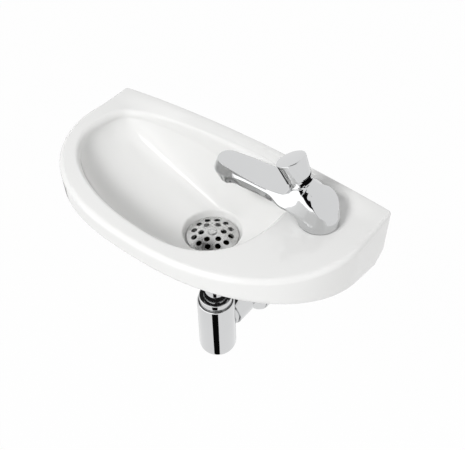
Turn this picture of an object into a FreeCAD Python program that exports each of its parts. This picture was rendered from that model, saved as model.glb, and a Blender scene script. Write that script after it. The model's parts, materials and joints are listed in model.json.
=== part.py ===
"""A wall-hung hand basin with a self-closing push tap, a grated waste and a bottle trap.

Millimetres. The origin lies on the wall's face, midway between the two wall bolts.
+X runs to the right for someone who stands at the basin, +Y into the wall, +Z up.
"""

import FreeCAD, Part
import math
import os

# Basin in plan
HALF_WIDTH = 201.5
PROJECTION = 206.0
SIDE_STRAIGHT = 65.0
FRONT_POWER = 2.4
REAR_CORNER_RADIUS = 5.0
FRONT_STEPS = 16
SIDE_STEPS = 3

# Basin in height, measured from the rim down unless said otherwise
RIM_HEIGHT = 72.0
DECK_THICKNESS = 12.0
WALL_THICKNESS = 11.0
APRON_AT_WALL = 77.0
APRON_AT_FRONT = 26.5
APRON_HEEL_RADIUS = 25.0
APRON_EDGE_RADIUS = 4.0
RIM_EDGE_RADIUS = 3.0
BACK_DROP = 100.0
BACK_THICKNESS = 13.0
BACK_FOOT_INSET = 29.5
BACK_FOOT_RADIUS = 15.0

# Arched rear edge with its cove
ARCH_RISE = 12.0
ARCH_END_RISE = 0.8
ARCH_INSET = 7.5
CREST_WIDTH = 5.0
COVE_REACH = 34.0
ARCH_STATIONS = 4

# Bowl
LEFT_RIM = 28.0
FRONT_RIM = 23.0
TAP_LEDGE = 96.0
BACK_LEDGE = 22.0
BOWL_DEPTH = 80.0
FLOOR_RADIUS = 39.0
LIP_SPREAD = 4.0
FRONT_LEFT_POWER = 2.1
FRONT_RIGHT_POWER = 2.45
BACK_POWER = 5.0
FLOOR_POWER = 2.0
CORNER_EASE = 3.0
LEFT_EASE = 2.1
RIGHT_EASE = 3.0
BACK_EASE = 1.5
FRONT_EASE = 2.2
SLICE_POINTS = 40
INNER_STEPS = (0.15, 0.3, 0.45, 0.6, 0.75, 0.88, 1.0)
OUTER_STEPS = (0.1, 0.3, 0.45, 0.6, 0.75, 0.88, 1.0)

# Waste
WASTE_X = 11.0
WASTE_Y = -82.0
SEAT_DROP = 90.6
SEAT_RADIUS = 33.6
RECESS_RADIUS = 37.5
WASTE_HOLE_RADIUS = 27.5
WASTE_BOSS_RADIUS = 44.0
SEAT_THICKNESS = 16.0
WASTE_SEAL_THICKNESS = 1.5
GRILLE_RADIUS = 32.5
GRILLE_RIM = 1.5
GRILLE_PLATE = 1.2
GRILLE_DOME = 6.0
GRILLE_DOME_RADIUS = 31.0
GRILLE_HOLE_RADIUS = 3.7
OUTER_HOLES = 12
OUTER_HOLE_RING = 23.4
INNER_HOLES = 6
INNER_HOLE_RING = 13.9
GRILLE_TURN = 25.0
INNER_TURN = 15.0
SCREW_RADIUS = 3.0
SCREW_HEAD_RADIUS = 6.1
SCREW_HEAD_HEIGHT = 1.8
SCREW_SLOT = 1.6
SCREW_SLOT_DEPTH = 1.0
LOWER_SEAL_THICKNESS = 3.0
WASTE_FLANGE_RADIUS = 34.0
WASTE_FLANGE_THICKNESS = 5.0
WASTE_HUB_RADIUS = 26.0
WASTE_HUB_LENGTH = 10.0
WASTE_TAIL_RADIUS = 20.8
WASTE_TAIL_LENGTH = 32.0
WASTE_BORE_RADIUS = 17.0
WASTE_MOUTH_RADIUS = 24.0
BRIDGE_DROP = 6.0
BRIDGE_THICKNESS = 5.0
BRIDGE_SPOKES = 3
BRIDGE_SPOKE_WIDTH = 4.0
BRIDGE_BOSS_RADIUS = 7.0
BRIDGE_NUT_WIDTH = 10.0
BRIDGE_NUT_HEIGHT = 5.0
SCREW_PAST_NUT = 2.0

# Trap
PIPE_RADIUS = 16.0
PIPE_WALL = 1.4
PIPE_FLANGE = 2.0
INLET_SEAL_THICKNESS = 2.0
UNION_NUT_RADIUS = 25.0
UNION_NUT_LIP = 4.0
UNION_NUT_COVER = 20.0
TRAP_TOP_DROP = 202.6
TRAP_NUT_RADIUS = 23.0
TRAP_NUT_HEIGHT = 10.6
TRAP_NUT_ROOF = 3.0
TRAP_SEAL_THICKNESS = 3.0
TRAP_NECK_RADIUS = 19.4
TRAP_TOP_RADIUS = 25.9
TRAP_LOW_RADIUS = 26.8
TRAP_HEIGHT = 101.0
TRAP_WALL = 2.0
TRAP_ROOF = 3.0
TRAP_SHOULDER_RADIUS = 2.4
TRAP_FOOT_RADIUS = 6.0
DIP_ABOVE_FLOOR = 7.0
OUTLET_DROP = 56.5
BRANCH_RADIUS = 19.5
BRANCH_LENGTH = 49.0
BRANCH_WATERWAY = 14.0
OUTLET_PIPE_START = 37.0
OUTLET_SEAL_THICKNESS = 5.0
OUTLET_NUT_RADIUS = 22.0
OUTLET_NUT_GAP = 0.7
OUTLET_NUT_LIP = 4.0
PIPE_PAST_WALL = 40.0
PIPE_MARK_WIDTH = 2.0
PIPE_MARK_DEPTH = 0.3
ROSETTE_RADIUS = 36.0
ROSETTE_RIM = 8.0
ROSETTE_NECK_RADIUS = 19.0
ROSETTE_DEPTH = 20.0
ROSETTE_WALL = 1.5
ROSETTE_EDGE = 3.0

# Tap, in its own frame: X along the spout, Z up from the foot of the body
TAP_FROM_SIDE = 57.0
TAP_Y = -61.5
SPOUT_TURN = 185.0
TAP_HOLE_RADIUS = 17.0
BASE_SEAL_THICKNESS = 0.8
BASE_SEAL_INSET = 1.0
BASE_RADIUS = 23.0
FACET_LOW = 12.0
FACET_RISE = 45.0
PUSH_LEAN = 28.0
BOSS_REACH = 23.75
BOSS_HEIGHT = 41.7
BOSS_RADIUS = 15.0
SHOULDER_HEIGHT = 13.0
WAIST_RADIUS = 20.5
WAIST_REACH = 9.0
WAIST_HEIGHT = 32.0
SPOUT_TOP = 26.3
SPOUT_RISE = 4.5
SPOUT_UNDERSIDE = 11.0
SPOUT_ROOT = 36.0
ROOT_HALF_WIDE = 22.5
ROOT_HALF_TOP = 12.0
SPOUT_FLARE_END = 52.0
OUTLET_REACH = 114.5
SPOUT_HALF_TOP = 13.4
SPOUT_HALF_WIDE = 15.2
SPOUT_TAPER = 4.0
SPOUT_WIDE_TILT = 6.0
SPOUT_HALF_LOW = 10.0
SPOUT_WIDE_HEIGHT = 16.0
OUTLET_LIP_DROP = 3.0
NOSE_BULGE = 2.3
FOOT_WALL = 4.0
WATERWAY_RADIUS = 4.0
WATERWAY_HEIGHT = 23.0
INLET_BORE_RADIUS = 4.5
INLET_BORE_REACH = 4.0
OUTLET_BORE_RADIUS = 9.5
OUTLET_BORE_HEIGHT = 22.0

# Tap cartridge and button, along the push axis from the boss face up
CARTRIDGE_RADIUS = 10.4
CARTRIDGE_HEAD_RADIUS = 12.3
CARTRIDGE_HEAD_HEIGHT = 9.0
VALVE_BORE_RADIUS = 7.6
CHAMBER_RADIUS = 5.5
CHAMBER_TOP = -5.0
VALVE_SHOULDER = -18.0
PORT_RADIUS = 2.5
PORT_PLACE = -14.0
O_RING_PLACES = (-3.0, -24.0)
O_RING_WIDTH = 2.0
O_RING_DEPTH = 1.3
STEM_RADIUS = 3.0
VALVE_SEAL_THICKNESS = 2.0
PISTON_HEIGHT = 5.0
BUTTON_TRAVEL = 5.0
BUTTON_HEIGHT = 23.0
BUTTON_TOP_RADIUS = 16.6
BUTTON_LOW_RADIUS = 14.0
BUTTON_EDGE_RADIUS = 0.8
BUTTON_ROOF = 4.0
BUTTON_BOSS_RADIUS = 6.0
BUTTON_BOSS_LENGTH = 6.0
SPRING_WIRE_RADIUS = 0.8
SPRING_COIL_RADIUS = 9.0
SPRING_TURNS = 5

# Aerator
AERATOR_HEIGHT = 11.0
AERATOR_WALL = 1.8
AERATOR_LIP = 1.0
AERATOR_LIP_WIDTH = 1.2
AERATOR_INSERT_HEIGHT = 8.0
AERATOR_JETS = 6
AERATOR_JET_RADIUS = 1.2
AERATOR_JET_RING = 4.2
AERATOR_SEAL_THICKNESS = 1.5

# Tap fixing below the deck
SHANK_RADIUS = 10.4
SHANK_BORE_RADIUS = 5.0
SHANK_SOCKET = 9.0
SHANK_BELOW_DECK = 46.0
SHANK_RELIEF_WIDTH = 3.0
SHANK_RELIEF_DEPTH = 0.8
FIXING_SEAL_THICKNESS = 2.5
FIXING_WASHER_THICKNESS = 2.0
FIXING_RADIUS = 21.0
BACKNUT_WIDTH = 28.0
BACKNUT_HEIGHT = 8.0

# Wall fixing
BOLT_HALF_SPACING = 140.0
BOLT_RADIUS = 5.0
BOLT_PAST_WALL = 60.0
BOLT_PAST_NUT = 6.0
BOLT_THREAD_RADIUS = 4.7
BUSH_WALL = 2.8
BUSH_FLANGE_RADIUS = 13.0
BUSH_FLANGE_THICKNESS = 3.0
BOLT_WASHER_RADIUS = 12.0
BOLT_WASHER_THICKNESS = 2.0
BOLT_NUT_WIDTH = 17.0
BOLT_NUT_HEIGHT = 8.0

# Clearances
THREAD_CLEARANCE = 0.1
SEAL_CLEARANCE = 0.15
RUNNING_CLEARANCE = 0.05
SKIRT_CLEARANCE = 0.5
STOP_CLEARANCE = 1.5
PISTON_END_CLEARANCE = 1.0

# Places worked out from the sizes above
BACK_FOOT_HALF = HALF_WIDTH - BACK_FOOT_INSET
ARCH_HALF = HALF_WIDTH - ARCH_INSET
TAP_X = HALF_WIDTH - TAP_FROM_SIDE
SEAT_Z = RIM_HEIGHT - SEAT_DROP
GRILLE_Z = SEAT_Z + WASTE_SEAL_THICKNESS
WASTE_UNDER_Z = SEAT_Z - SEAT_THICKNESS
FLANGE_Z = WASTE_UNDER_Z - LOWER_SEAL_THICKNESS
HUB_Z = FLANGE_Z - WASTE_FLANGE_THICKNESS
TAIL_Z = HUB_Z - WASTE_HUB_LENGTH
TAIL_END_Z = TAIL_Z - WASTE_TAIL_LENGTH
PIPE_TOP_Z = TAIL_END_Z - INLET_SEAL_THICKNESS
PIPE_SHOULDER_Z = PIPE_TOP_Z - PIPE_FLANGE
BRIDGE_Z = FLANGE_Z - BRIDGE_DROP
TRAP_NUT_TOP_Z = RIM_HEIGHT - TRAP_TOP_DROP
TRAP_TOP_Z = TRAP_NUT_TOP_Z - TRAP_NUT_HEIGHT
NECK_TOP_Z = TRAP_NUT_TOP_Z - TRAP_NUT_ROOF - TRAP_SEAL_THICKNESS
TRAP_BOTTOM_Z = TRAP_TOP_Z - TRAP_HEIGHT
OUTLET_Z = TRAP_TOP_Z - OUTLET_DROP
BRANCH_END_Y = WASTE_Y + BRANCH_LENGTH
OUTLET_NUT_END_Y = BRANCH_END_Y + OUTLET_SEAL_THICKNESS + OUTLET_NUT_LIP
DECK_UNDER_Z = RIM_HEIGHT - DECK_THICKNESS
APRON_SLOPE = math.atan2(APRON_AT_WALL - APRON_AT_FRONT, PROJECTION)
HEEL_DROP = APRON_AT_WALL - APRON_HEEL_RADIUS * (math.tan(APRON_SLOPE) + 1 / math.cos(APRON_SLOPE))
TAP_Z = RIM_HEIGHT + BASE_SEAL_THICKNESS
BOLT_HOLE_RADIUS = BOLT_RADIUS + BUSH_WALL + THREAD_CLEARANCE
FIXING_BORE = SHANK_RADIUS + SEAL_CLEARANCE
LEAN_COS = math.cos(math.radians(PUSH_LEAN))
RISE_SLOPE = math.tan(math.radians(SPOUT_RISE))
OUTLET_FACE_Z = SPOUT_UNDERSIDE - OUTLET_LIP_DROP
BUTTON_BORE_RADIUS = CARTRIDGE_HEAD_RADIUS + SKIRT_CLEARANCE
BUTTON_GAP = BUTTON_TRAVEL + STOP_CLEARANCE
BUTTON_TOP = BUTTON_GAP + BUTTON_HEIGHT
BUTTON_CEILING = BUTTON_TOP - BUTTON_ROOF
PISTON_TOP = VALVE_SHOULDER - VALVE_SEAL_THICKNESS
PISTON_FOOT = PISTON_TOP - PISTON_HEIGHT
CARTRIDGE_DEPTH = BUTTON_TRAVEL + PISTON_END_CLEARANCE - PISTON_FOOT

# A tool that has to reach past a face goes this much further
PAST = 1.0

UP = FreeCAD.Vector(0, 0, 1)
INTO_WALL = FreeCAD.Vector(0, 1, 0)


def vec(x, y, z):
    return FreeCAD.Vector(x, y, z)


def mix(start, end, share):
    return start + (end - start) * share


def cylinder(radius, start, end, axis=UP, at=None):
    """A round bar along axis, from start to end measured along it, through the point at."""
    at = at or vec(0, 0, 0)
    return Part.makeCylinder(radius, end - start, at + axis * start, axis)


def tube(inner, outer, start, end, axis=UP, at=None):
    bar = cylinder(outer, start, end, axis, at)
    return bar.cut(cylinder(inner, start - PAST, end + PAST, axis, at))


def lathe(edges):
    """A closed profile of edges in the XZ plane, turned once round Z."""
    face = Part.Face(Part.Wire(Part.__sortEdges__(edges)))
    return face.revolve(vec(0, 0, 0), UP, 360)


def outline(points):
    """Straight edges through (radius, height) points, closed."""
    corners = [vec(r, 0, z) for r, z in points]
    closed = corners + corners[:1]
    return [Part.LineSegment(a, b).toShape() for a, b in zip(closed, closed[1:])]


def turned(points):
    return lathe(outline(points))


def hexagon(width, height, bore):
    """A hexagonal nut across its flats, standing on Z = 0."""
    corner = width / math.sqrt(3)
    corners = [vec(corner, 0, 0)]
    for step in range(1, 7):
        turn = math.radians(60 * step)
        corners.append(vec(corner * math.cos(turn), corner * math.sin(turn), 0))
    block = Part.Face(Part.makePolygon(corners)).extrude(UP * height)
    return block.cut(cylinder(bore, -PAST, height + PAST))


def prism_yz(points, half_width):
    """A polygon of (y, z) points carried from -half_width to half_width along X."""
    corners = [vec(-half_width, y, z) for y, z in points]
    face = Part.Face(Part.makePolygon(corners + corners[:1]))
    return face.extrude(vec(2 * half_width, 0, 0))


def round_edges(shape, radius, wanted):
    return shape.makeFillet(radius, [edge for edge in shape.Edges if wanted(edge.BoundBox)])


def one_solid(shape):
    """A single clean solid, with faces that meet smoothly merged."""
    return shape.removeSplitter().Solids[0]


# Ceramic basin

def d_outline(inset, back_y, corner):
    """The D-shaped plan: a straight back, and one curve for the straight sides and the front,
    where |x / a|^FRONT_POWER + (y / b)^2 = 1. The sides and front draw in by inset."""
    half = HALF_WIDTH - inset
    bulge = PROJECTION - inset - SIDE_STRAIGHT
    side_y = [mix(back_y - corner, -SIDE_STRAIGHT, step / SIDE_STEPS) for step in range(SIDE_STEPS)]
    run = [vec(half, y, 0) for y in side_y]
    for step in range(FRONT_STEPS + 1):
        turn = math.pi * step / FRONT_STEPS
        across = math.cos(turn)
        x = math.copysign(abs(across) ** (2 / FRONT_POWER), across) * half
        run.append(vec(x, -SIDE_STRAIGHT - bulge * math.sin(turn), 0))
    run += [vec(-half, y, 0) for y in reversed(side_y)]
    curve = Part.BSplineCurve()
    curve.interpolate(run)
    diagonal = corner * (1 - math.sqrt(0.5))
    edges = [Part.LineSegment(vec(half - corner, back_y, 0), vec(corner - half, back_y, 0)).toShape()]
    for side in (1, -1):
        edges.append(Part.Arc(vec(side * (half - corner), back_y, 0),
                              vec(side * (half - diagonal), back_y - diagonal, 0),
                              vec(side * half, back_y - corner, 0)).toShape())
    edges.append(curve.toShape())
    return Part.Wire(Part.__sortEdges__(edges))


def apron_heel():
    """What the round heel takes away where the skirt's lower edge meets the wall."""
    heel = APRON_HEEL_RADIUS
    middle = vec(0, -heel, -HEEL_DROP)
    half_turn = math.pi / 4 + APRON_SLOPE / 2
    start = middle + vec(0, heel, 0)
    halfway = middle + vec(0, heel * math.cos(half_turn), -heel * math.sin(half_turn))
    leave = middle + vec(0, -heel * math.sin(APRON_SLOPE), -heel * math.cos(APRON_SLOPE))
    low_z = -APRON_AT_WALL - PAST
    corners = [leave, vec(0, leave.y, low_z), vec(0, PAST, low_z), vec(0, PAST, -HEEL_DROP), start]
    edges = [Part.Arc(start, halfway, leave).toShape()]
    edges += [Part.LineSegment(a, b).toShape() for a, b in zip(corners, corners[1:])]
    heel_cut = Part.Face(Part.Wire(edges)).extrude(vec(2 * HALF_WIDTH + 2 * PAST, 0, 0))
    heel_cut.translate(vec(-HALF_WIDTH - PAST, 0, 0))
    return heel_cut


def apron():
    """Rim, deck and skirt, hollow below the deck, with a lower edge that rises to the front."""
    plan = Part.Face(d_outline(0, 0, REAR_CORNER_RADIUS))
    block = plan.extrude(vec(0, 0, -APRON_AT_WALL))
    far = PROJECTION + PAST
    low_z = -APRON_AT_WALL - PAST
    below = prism_yz([(PAST, -APRON_AT_WALL - PAST * math.tan(APRON_SLOPE)),
                      (-far, -APRON_AT_WALL + far * math.tan(APRON_SLOPE)), (-far, low_z), (PAST, low_z)],
                     HALF_WIDTH + PAST)
    block = block.cut(below)
    block = round_edges(block, RIM_EDGE_RADIUS, lambda box: box.ZMin > -PAST)
    block = round_edges(block, APRON_EDGE_RADIUS,
                        lambda box: box.ZMax < -APRON_AT_FRONT / 2
                        and box.XLength + box.YLength > box.ZLength)
    hollow = Part.Face(d_outline(WALL_THICKNESS, -BACK_THICKNESS, REAR_CORNER_RADIUS))
    hollow = hollow.extrude(vec(0, 0, -APRON_AT_WALL))
    hollow.translate(vec(0, 0, -DECK_THICKNESS))
    shell = block.cut([hollow, apron_heel()])
    shell.translate(vec(0, 0, RIM_HEIGHT))
    return shell


def back_plate():
    """The flat plate against the wall, which carries the bolt holes."""
    top = HALF_WIDTH - REAR_CORNER_RADIUS
    head_z = RIM_HEIGHT - DECK_THICKNESS / 2
    knee_z = RIM_HEIGHT - HEEL_DROP
    foot_z = RIM_HEIGHT - BACK_DROP
    corners = [(-top, head_z), (top, head_z), (top, knee_z), (BACK_FOOT_HALF, foot_z),
               (-BACK_FOOT_HALF, foot_z), (-top, knee_z)]
    points = [vec(x, -BACK_THICKNESS, z) for x, z in corners]
    plate = Part.Face(Part.makePolygon(points + points[:1])).extrude(vec(0, BACK_THICKNESS, 0))
    return round_edges(plate, BACK_FOOT_RADIUS,
                       lambda box: box.ZMax < foot_z + PAST and box.XLength < PAST)


def arch():
    """The rear edge, highest in the middle, with a hollow cove down to the deck."""
    sections = []
    for station in range(-ARCH_STATIONS, ARCH_STATIONS + 1):
        share = station / ARCH_STATIONS
        x = ARCH_HALF * share
        rise = ARCH_END_RISE + (ARCH_RISE - ARCH_END_RISE) * (1 - share * share)
        base_z = RIM_HEIGHT - DECK_THICKNESS / 2
        crest_z = RIM_HEIGHT + rise
        mid_y = -(CREST_WIDTH + COVE_REACH) / 2
        foot = vec(x, 0, base_z)
        crest = vec(x, 0, crest_z)
        brow = vec(x, -CREST_WIDTH, crest_z)
        hollow = vec(x, mid_y, RIM_HEIGHT + rise / 4)
        toe = vec(x, -COVE_REACH, RIM_HEIGHT)
        heel = vec(x, -COVE_REACH, base_z)
        edges = [Part.LineSegment(foot, crest).toShape(), Part.LineSegment(crest, brow).toShape(),
                 Part.Arc(brow, hollow, toe).toShape(), Part.LineSegment(toe, heel).toShape(),
                 Part.LineSegment(heel, foot).toShape()]
        sections.append(Part.Wire(edges))
    return Part.makeLoft(sections, True)


def bowl_slice(depth, height, spread):
    """One level outline of the bowl, as a reach from the waste's axis in each direction.
    Each quarter is a superellipse; with depth it eases from the lip's reach to the round floor."""
    share = min(max(depth / BOWL_DEPTH, 0), 1)
    lip_left = WASTE_X + HALF_WIDTH - LEFT_RIM
    lip_right = HALF_WIDTH - TAP_LEDGE - WASTE_X
    lip_back = -BACK_LEDGE - WASTE_Y
    lip_front = WASTE_Y + PROJECTION - FRONT_RIM
    left = mix(lip_left, FLOOR_RADIUS, share ** LEFT_EASE) + spread
    right = mix(lip_right, FLOOR_RADIUS, share ** RIGHT_EASE) + spread
    back = mix(lip_back, FLOOR_RADIUS, share ** BACK_EASE) + spread
    front = mix(lip_front, FLOOR_RADIUS, share ** FRONT_EASE) + spread
    points = []
    for step in range(SLICE_POINTS):
        turn = 2 * math.pi * step / SLICE_POINTS
        across = math.cos(turn)
        along = math.sin(turn)
        if along >= 0:
            power = BACK_POWER
        elif across >= 0:
            power = FRONT_RIGHT_POWER
        else:
            power = FRONT_LEFT_POWER
        power = mix(power, FLOOR_POWER, share ** CORNER_EASE)
        half_x = right if across >= 0 else left
        half_y = back if along >= 0 else front
        reach = ((abs(across) / half_x) ** power + (abs(along) / half_y) ** power) ** (-1 / power)
        points.append(vec(WASTE_X + reach * across, WASTE_Y + reach * along, height))
    curve = Part.BSplineCurve()
    curve.interpolate(points, PeriodicFlag=True)
    return Part.Wire(curve.toShape())


def bowl_hollow():
    """The space inside the bowl, flaring over the lip and carried on above the rim."""
    slices = []
    for depth in (-LIP_SPREAD, 0, LIP_SPREAD, 2 * LIP_SPREAD):
        flare = LIP_SPREAD * (1 - depth / (2 * LIP_SPREAD)) ** 2
        slices.append(bowl_slice(depth, RIM_HEIGHT - depth, flare))
    for share in INNER_STEPS:
        depth = BOWL_DEPTH * share
        slices.append(bowl_slice(depth, RIM_HEIGHT - depth, 0))
    hollow = Part.makeLoft(slices, True)
    floor_z = RIM_HEIGHT - BOWL_DEPTH
    recess = Part.makeCone(SEAT_RADIUS, RECESS_RADIUS, floor_z + PAST - SEAT_Z,
                           vec(WASTE_X, WASTE_Y, SEAT_Z), UP)
    return hollow.fuse(recess)


def bowl_body():
    """The bowl's outer wall, solid, with the boss round the waste."""
    slices = []
    for share in OUTER_STEPS:
        depth = BOWL_DEPTH * share
        slices.append(bowl_slice(depth, RIM_HEIGHT - depth - WALL_THICKNESS * share, WALL_THICKNESS))
    body = Part.makeLoft(slices, True)
    boss_top = RIM_HEIGHT - BOWL_DEPTH
    return body.fuse(cylinder(WASTE_BOSS_RADIUS, WASTE_UNDER_Z, boss_top, UP, vec(WASTE_X, WASTE_Y, 0)))


def basin():
    body = apron().fuse([back_plate(), arch(), bowl_body()])
    waste_at = vec(WASTE_X, WASTE_Y, 0)
    tap_at = vec(TAP_X, TAP_Y, 0)
    cuts = [bowl_hollow(),
            cylinder(WASTE_HOLE_RADIUS, WASTE_UNDER_Z - PAST, SEAT_Z + PAST, UP, waste_at),
            cylinder(TAP_HOLE_RADIUS, DECK_UNDER_Z - PAST, RIM_HEIGHT + PAST, UP, tap_at)]
    for side in (-1, 1):
        cuts.append(cylinder(BOLT_HOLE_RADIUS, -BACK_THICKNESS - PAST, PAST, INTO_WALL,
                             vec(side * BOLT_HALF_SPACING, 0, 0)))
    return one_solid(body.cut(cuts))


# Wall fixing

def bolt_pair(make):
    """One copy of a fixing on each wall bolt, made along Y through the origin."""
    copies = []
    for side in (-1, 1):
        piece = make()
        piece.translate(vec(side * BOLT_HALF_SPACING, 0, 0))
        copies.append(piece)
    return Part.makeCompound(copies)


BUSH_FACE_Y = -BACK_THICKNESS - BUSH_FLANGE_THICKNESS
WASHER_FACE_Y = BUSH_FACE_Y - BOLT_WASHER_THICKNESS
NUT_FACE_Y = WASHER_FACE_Y - BOLT_NUT_HEIGHT


def wall_bolt():
    """A hanger bolt: a machine thread for the nut, drawn at its mean radius, and a stud for the wall."""
    thread = cylinder(BOLT_THREAD_RADIUS, NUT_FACE_Y - BOLT_PAST_NUT, 0, INTO_WALL)
    stud = cylinder(BOLT_RADIUS, 0, BOLT_PAST_WALL, INTO_WALL)
    return one_solid(thread.fuse(stud))


def bolt_bush():
    bore = BOLT_RADIUS + THREAD_CLEARANCE
    sleeve = tube(bore, BOLT_RADIUS + BUSH_WALL, -BACK_THICKNESS, 0, INTO_WALL)
    flange = tube(bore, BUSH_FLANGE_RADIUS, BUSH_FACE_Y, -BACK_THICKNESS, INTO_WALL)
    return one_solid(sleeve.fuse(flange))


def bolt_washer():
    return tube(BOLT_RADIUS + THREAD_CLEARANCE, BOLT_WASHER_RADIUS, WASHER_FACE_Y, BUSH_FACE_Y, INTO_WALL)


def bolt_nut():
    nut = hexagon(BOLT_NUT_WIDTH, BOLT_NUT_HEIGHT, BOLT_THREAD_RADIUS + THREAD_CLEARANCE)
    nut.rotate(vec(0, 0, 0), vec(1, 0, 0), -90)
    nut.translate(vec(0, NUT_FACE_Y, 0))
    return nut


# Waste, made round Z and then set on the waste's axis

def on_waste(shape):
    shape.translate(vec(WASTE_X, WASTE_Y, 0))
    return shape


def waste_top_seal():
    return tube(WASTE_HOLE_RADIUS, GRILLE_RADIUS - PAST, SEAT_Z, GRILLE_Z)


def waste_grille():
    """A domed disc with a flat rim, pierced by two rings of holes and one for the screw."""
    top = GRILLE_Z + GRILLE_RIM
    under = top - GRILLE_PLATE
    middle = GRILLE_DOME_RADIUS / 2
    middle_rise = GRILLE_DOME * 0.75
    crown = Part.Arc(vec(0, 0, top + GRILLE_DOME), vec(middle, 0, top + middle_rise),
                     vec(GRILLE_DOME_RADIUS, 0, top))
    belly = Part.Arc(vec(0, 0, under + GRILLE_DOME), vec(middle, 0, under + middle_rise),
                     vec(GRILLE_DOME_RADIUS, 0, under))
    corners = [vec(GRILLE_DOME_RADIUS, 0, top), vec(GRILLE_RADIUS, 0, top), vec(GRILLE_RADIUS, 0, GRILLE_Z),
               vec(GRILLE_DOME_RADIUS, 0, GRILLE_Z), vec(GRILLE_DOME_RADIUS, 0, under)]
    rim = [Part.LineSegment(a, b).toShape() for a, b in zip(corners, corners[1:])]
    axis = Part.LineSegment(vec(0, 0, under + GRILLE_DOME), vec(0, 0, top + GRILLE_DOME)).toShape()
    disc = lathe([crown.toShape(), belly.toShape(), axis] + rim)
    low = GRILLE_Z - PAST
    high = top + GRILLE_DOME + PAST
    holes = [cylinder(SCREW_RADIUS + THREAD_CLEARANCE, low, high)]
    rings = ((OUTER_HOLES, OUTER_HOLE_RING, GRILLE_TURN),
             (INNER_HOLES, INNER_HOLE_RING, GRILLE_TURN + INNER_TURN))
    for count, ring, first in rings:
        for step in range(count):
            turn = math.radians(first + 360 * step / count)
            at = vec(ring * math.cos(turn), ring * math.sin(turn), 0)
            holes.append(cylinder(GRILLE_HOLE_RADIUS, low, high, UP, at))
    return disc.cut(holes)


def waste_screw():
    seat = GRILLE_Z + GRILLE_RIM + GRILLE_DOME
    foot = BRIDGE_Z - BRIDGE_THICKNESS - BRIDGE_NUT_HEIGHT - SCREW_PAST_NUT
    head = cylinder(SCREW_HEAD_RADIUS, seat, seat + SCREW_HEAD_HEIGHT)
    head = round_edges(head, SCREW_HEAD_HEIGHT / 2,
                       lambda box: box.ZMin > seat + SCREW_HEAD_HEIGHT / 2)
    slot = Part.makeBox(2 * GRILLE_RADIUS, SCREW_SLOT, SCREW_SLOT_DEPTH + PAST,
                        vec(-GRILLE_RADIUS, -SCREW_SLOT / 2, seat + SCREW_HEAD_HEIGHT - SCREW_SLOT_DEPTH))
    slot.rotate(vec(0, 0, 0), UP, GRILLE_TURN)
    return one_solid(head.cut(slot).fuse(cylinder(SCREW_RADIUS, foot, seat)))


def waste_lower_seal():
    return tube(WASTE_HOLE_RADIUS, WASTE_FLANGE_RADIUS - PAST, FLANGE_Z, WASTE_UNDER_Z)


def waste_body():
    """Flange, hub and threaded tail, with a funnel mouth and a spoked bridge across it for the screw."""
    body = turned([(WASTE_MOUTH_RADIUS, FLANGE_Z), (WASTE_FLANGE_RADIUS, FLANGE_Z),
                   (WASTE_FLANGE_RADIUS, HUB_Z), (WASTE_HUB_RADIUS, HUB_Z), (WASTE_HUB_RADIUS, TAIL_Z),
                   (WASTE_TAIL_RADIUS, TAIL_Z), (WASTE_TAIL_RADIUS, TAIL_END_Z),
                   (WASTE_BORE_RADIUS, TAIL_END_Z), (WASTE_BORE_RADIUS, TAIL_Z)])
    low = BRIDGE_Z - BRIDGE_THICKNESS
    bridge = [cylinder(BRIDGE_BOSS_RADIUS, low, BRIDGE_Z)]
    for step in range(BRIDGE_SPOKES):
        spoke = Part.makeBox(mix(WASTE_MOUTH_RADIUS, WASTE_TAIL_RADIUS, 0.5), BRIDGE_SPOKE_WIDTH,
                             BRIDGE_THICKNESS, vec(0, -BRIDGE_SPOKE_WIDTH / 2, low))
        spoke.rotate(vec(0, 0, 0), UP, 360 * step / BRIDGE_SPOKES)
        bridge.append(spoke)
    hole = cylinder(SCREW_RADIUS + THREAD_CLEARANCE, low - PAST, BRIDGE_Z + PAST)
    return one_solid(body.fuse(bridge).cut(hole))


def waste_bridge_nut():
    nut = hexagon(BRIDGE_NUT_WIDTH, BRIDGE_NUT_HEIGHT, SCREW_RADIUS + THREAD_CLEARANCE)
    nut.translate(vec(0, 0, BRIDGE_Z - BRIDGE_THICKNESS - BRIDGE_NUT_HEIGHT))
    return nut


# Trap, made round Z with its outlet along Y, and then set on the waste's axis

def trap_inlet_nut():
    bore = WASTE_TAIL_RADIUS + THREAD_CLEARANCE
    lip_top = PIPE_SHOULDER_Z
    lip_foot = lip_top - UNION_NUT_LIP
    top = lip_top + UNION_NUT_COVER
    throat = PIPE_RADIUS + SEAL_CLEARANCE
    return turned([(throat, lip_foot), (UNION_NUT_RADIUS, lip_foot), (UNION_NUT_RADIUS, top),
                   (bore, top), (bore, lip_top), (throat, lip_top)])


def trap_inlet_seal():
    return tube(WASTE_BORE_RADIUS, WASTE_TAIL_RADIUS - SEAL_CLEARANCE, PIPE_TOP_Z, TAIL_END_Z)


def trap_tailpipe():
    """The flanged pipe that hangs from the waste and dips into the water in the cup."""
    foot = TRAP_BOTTOM_Z + TRAP_WALL + DIP_ABOVE_FLOOR
    flange = WASTE_TAIL_RADIUS - SEAL_CLEARANCE
    bore = PIPE_RADIUS - PIPE_WALL
    return turned([(bore, PIPE_TOP_Z), (flange, PIPE_TOP_Z), (flange, PIPE_SHOULDER_Z),
                   (PIPE_RADIUS, PIPE_SHOULDER_Z), (PIPE_RADIUS, foot), (bore, foot)])


def trap_top_nut():
    throat = PIPE_RADIUS + SEAL_CLEARANCE
    bore = TRAP_NECK_RADIUS + THREAD_CLEARANCE
    ceiling = TRAP_NUT_TOP_Z - TRAP_NUT_ROOF
    return turned([(throat, ceiling), (bore, ceiling), (bore, TRAP_TOP_Z), (TRAP_NUT_RADIUS, TRAP_TOP_Z),
                   (TRAP_NUT_RADIUS, TRAP_NUT_TOP_Z), (throat, TRAP_NUT_TOP_Z)])


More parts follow.
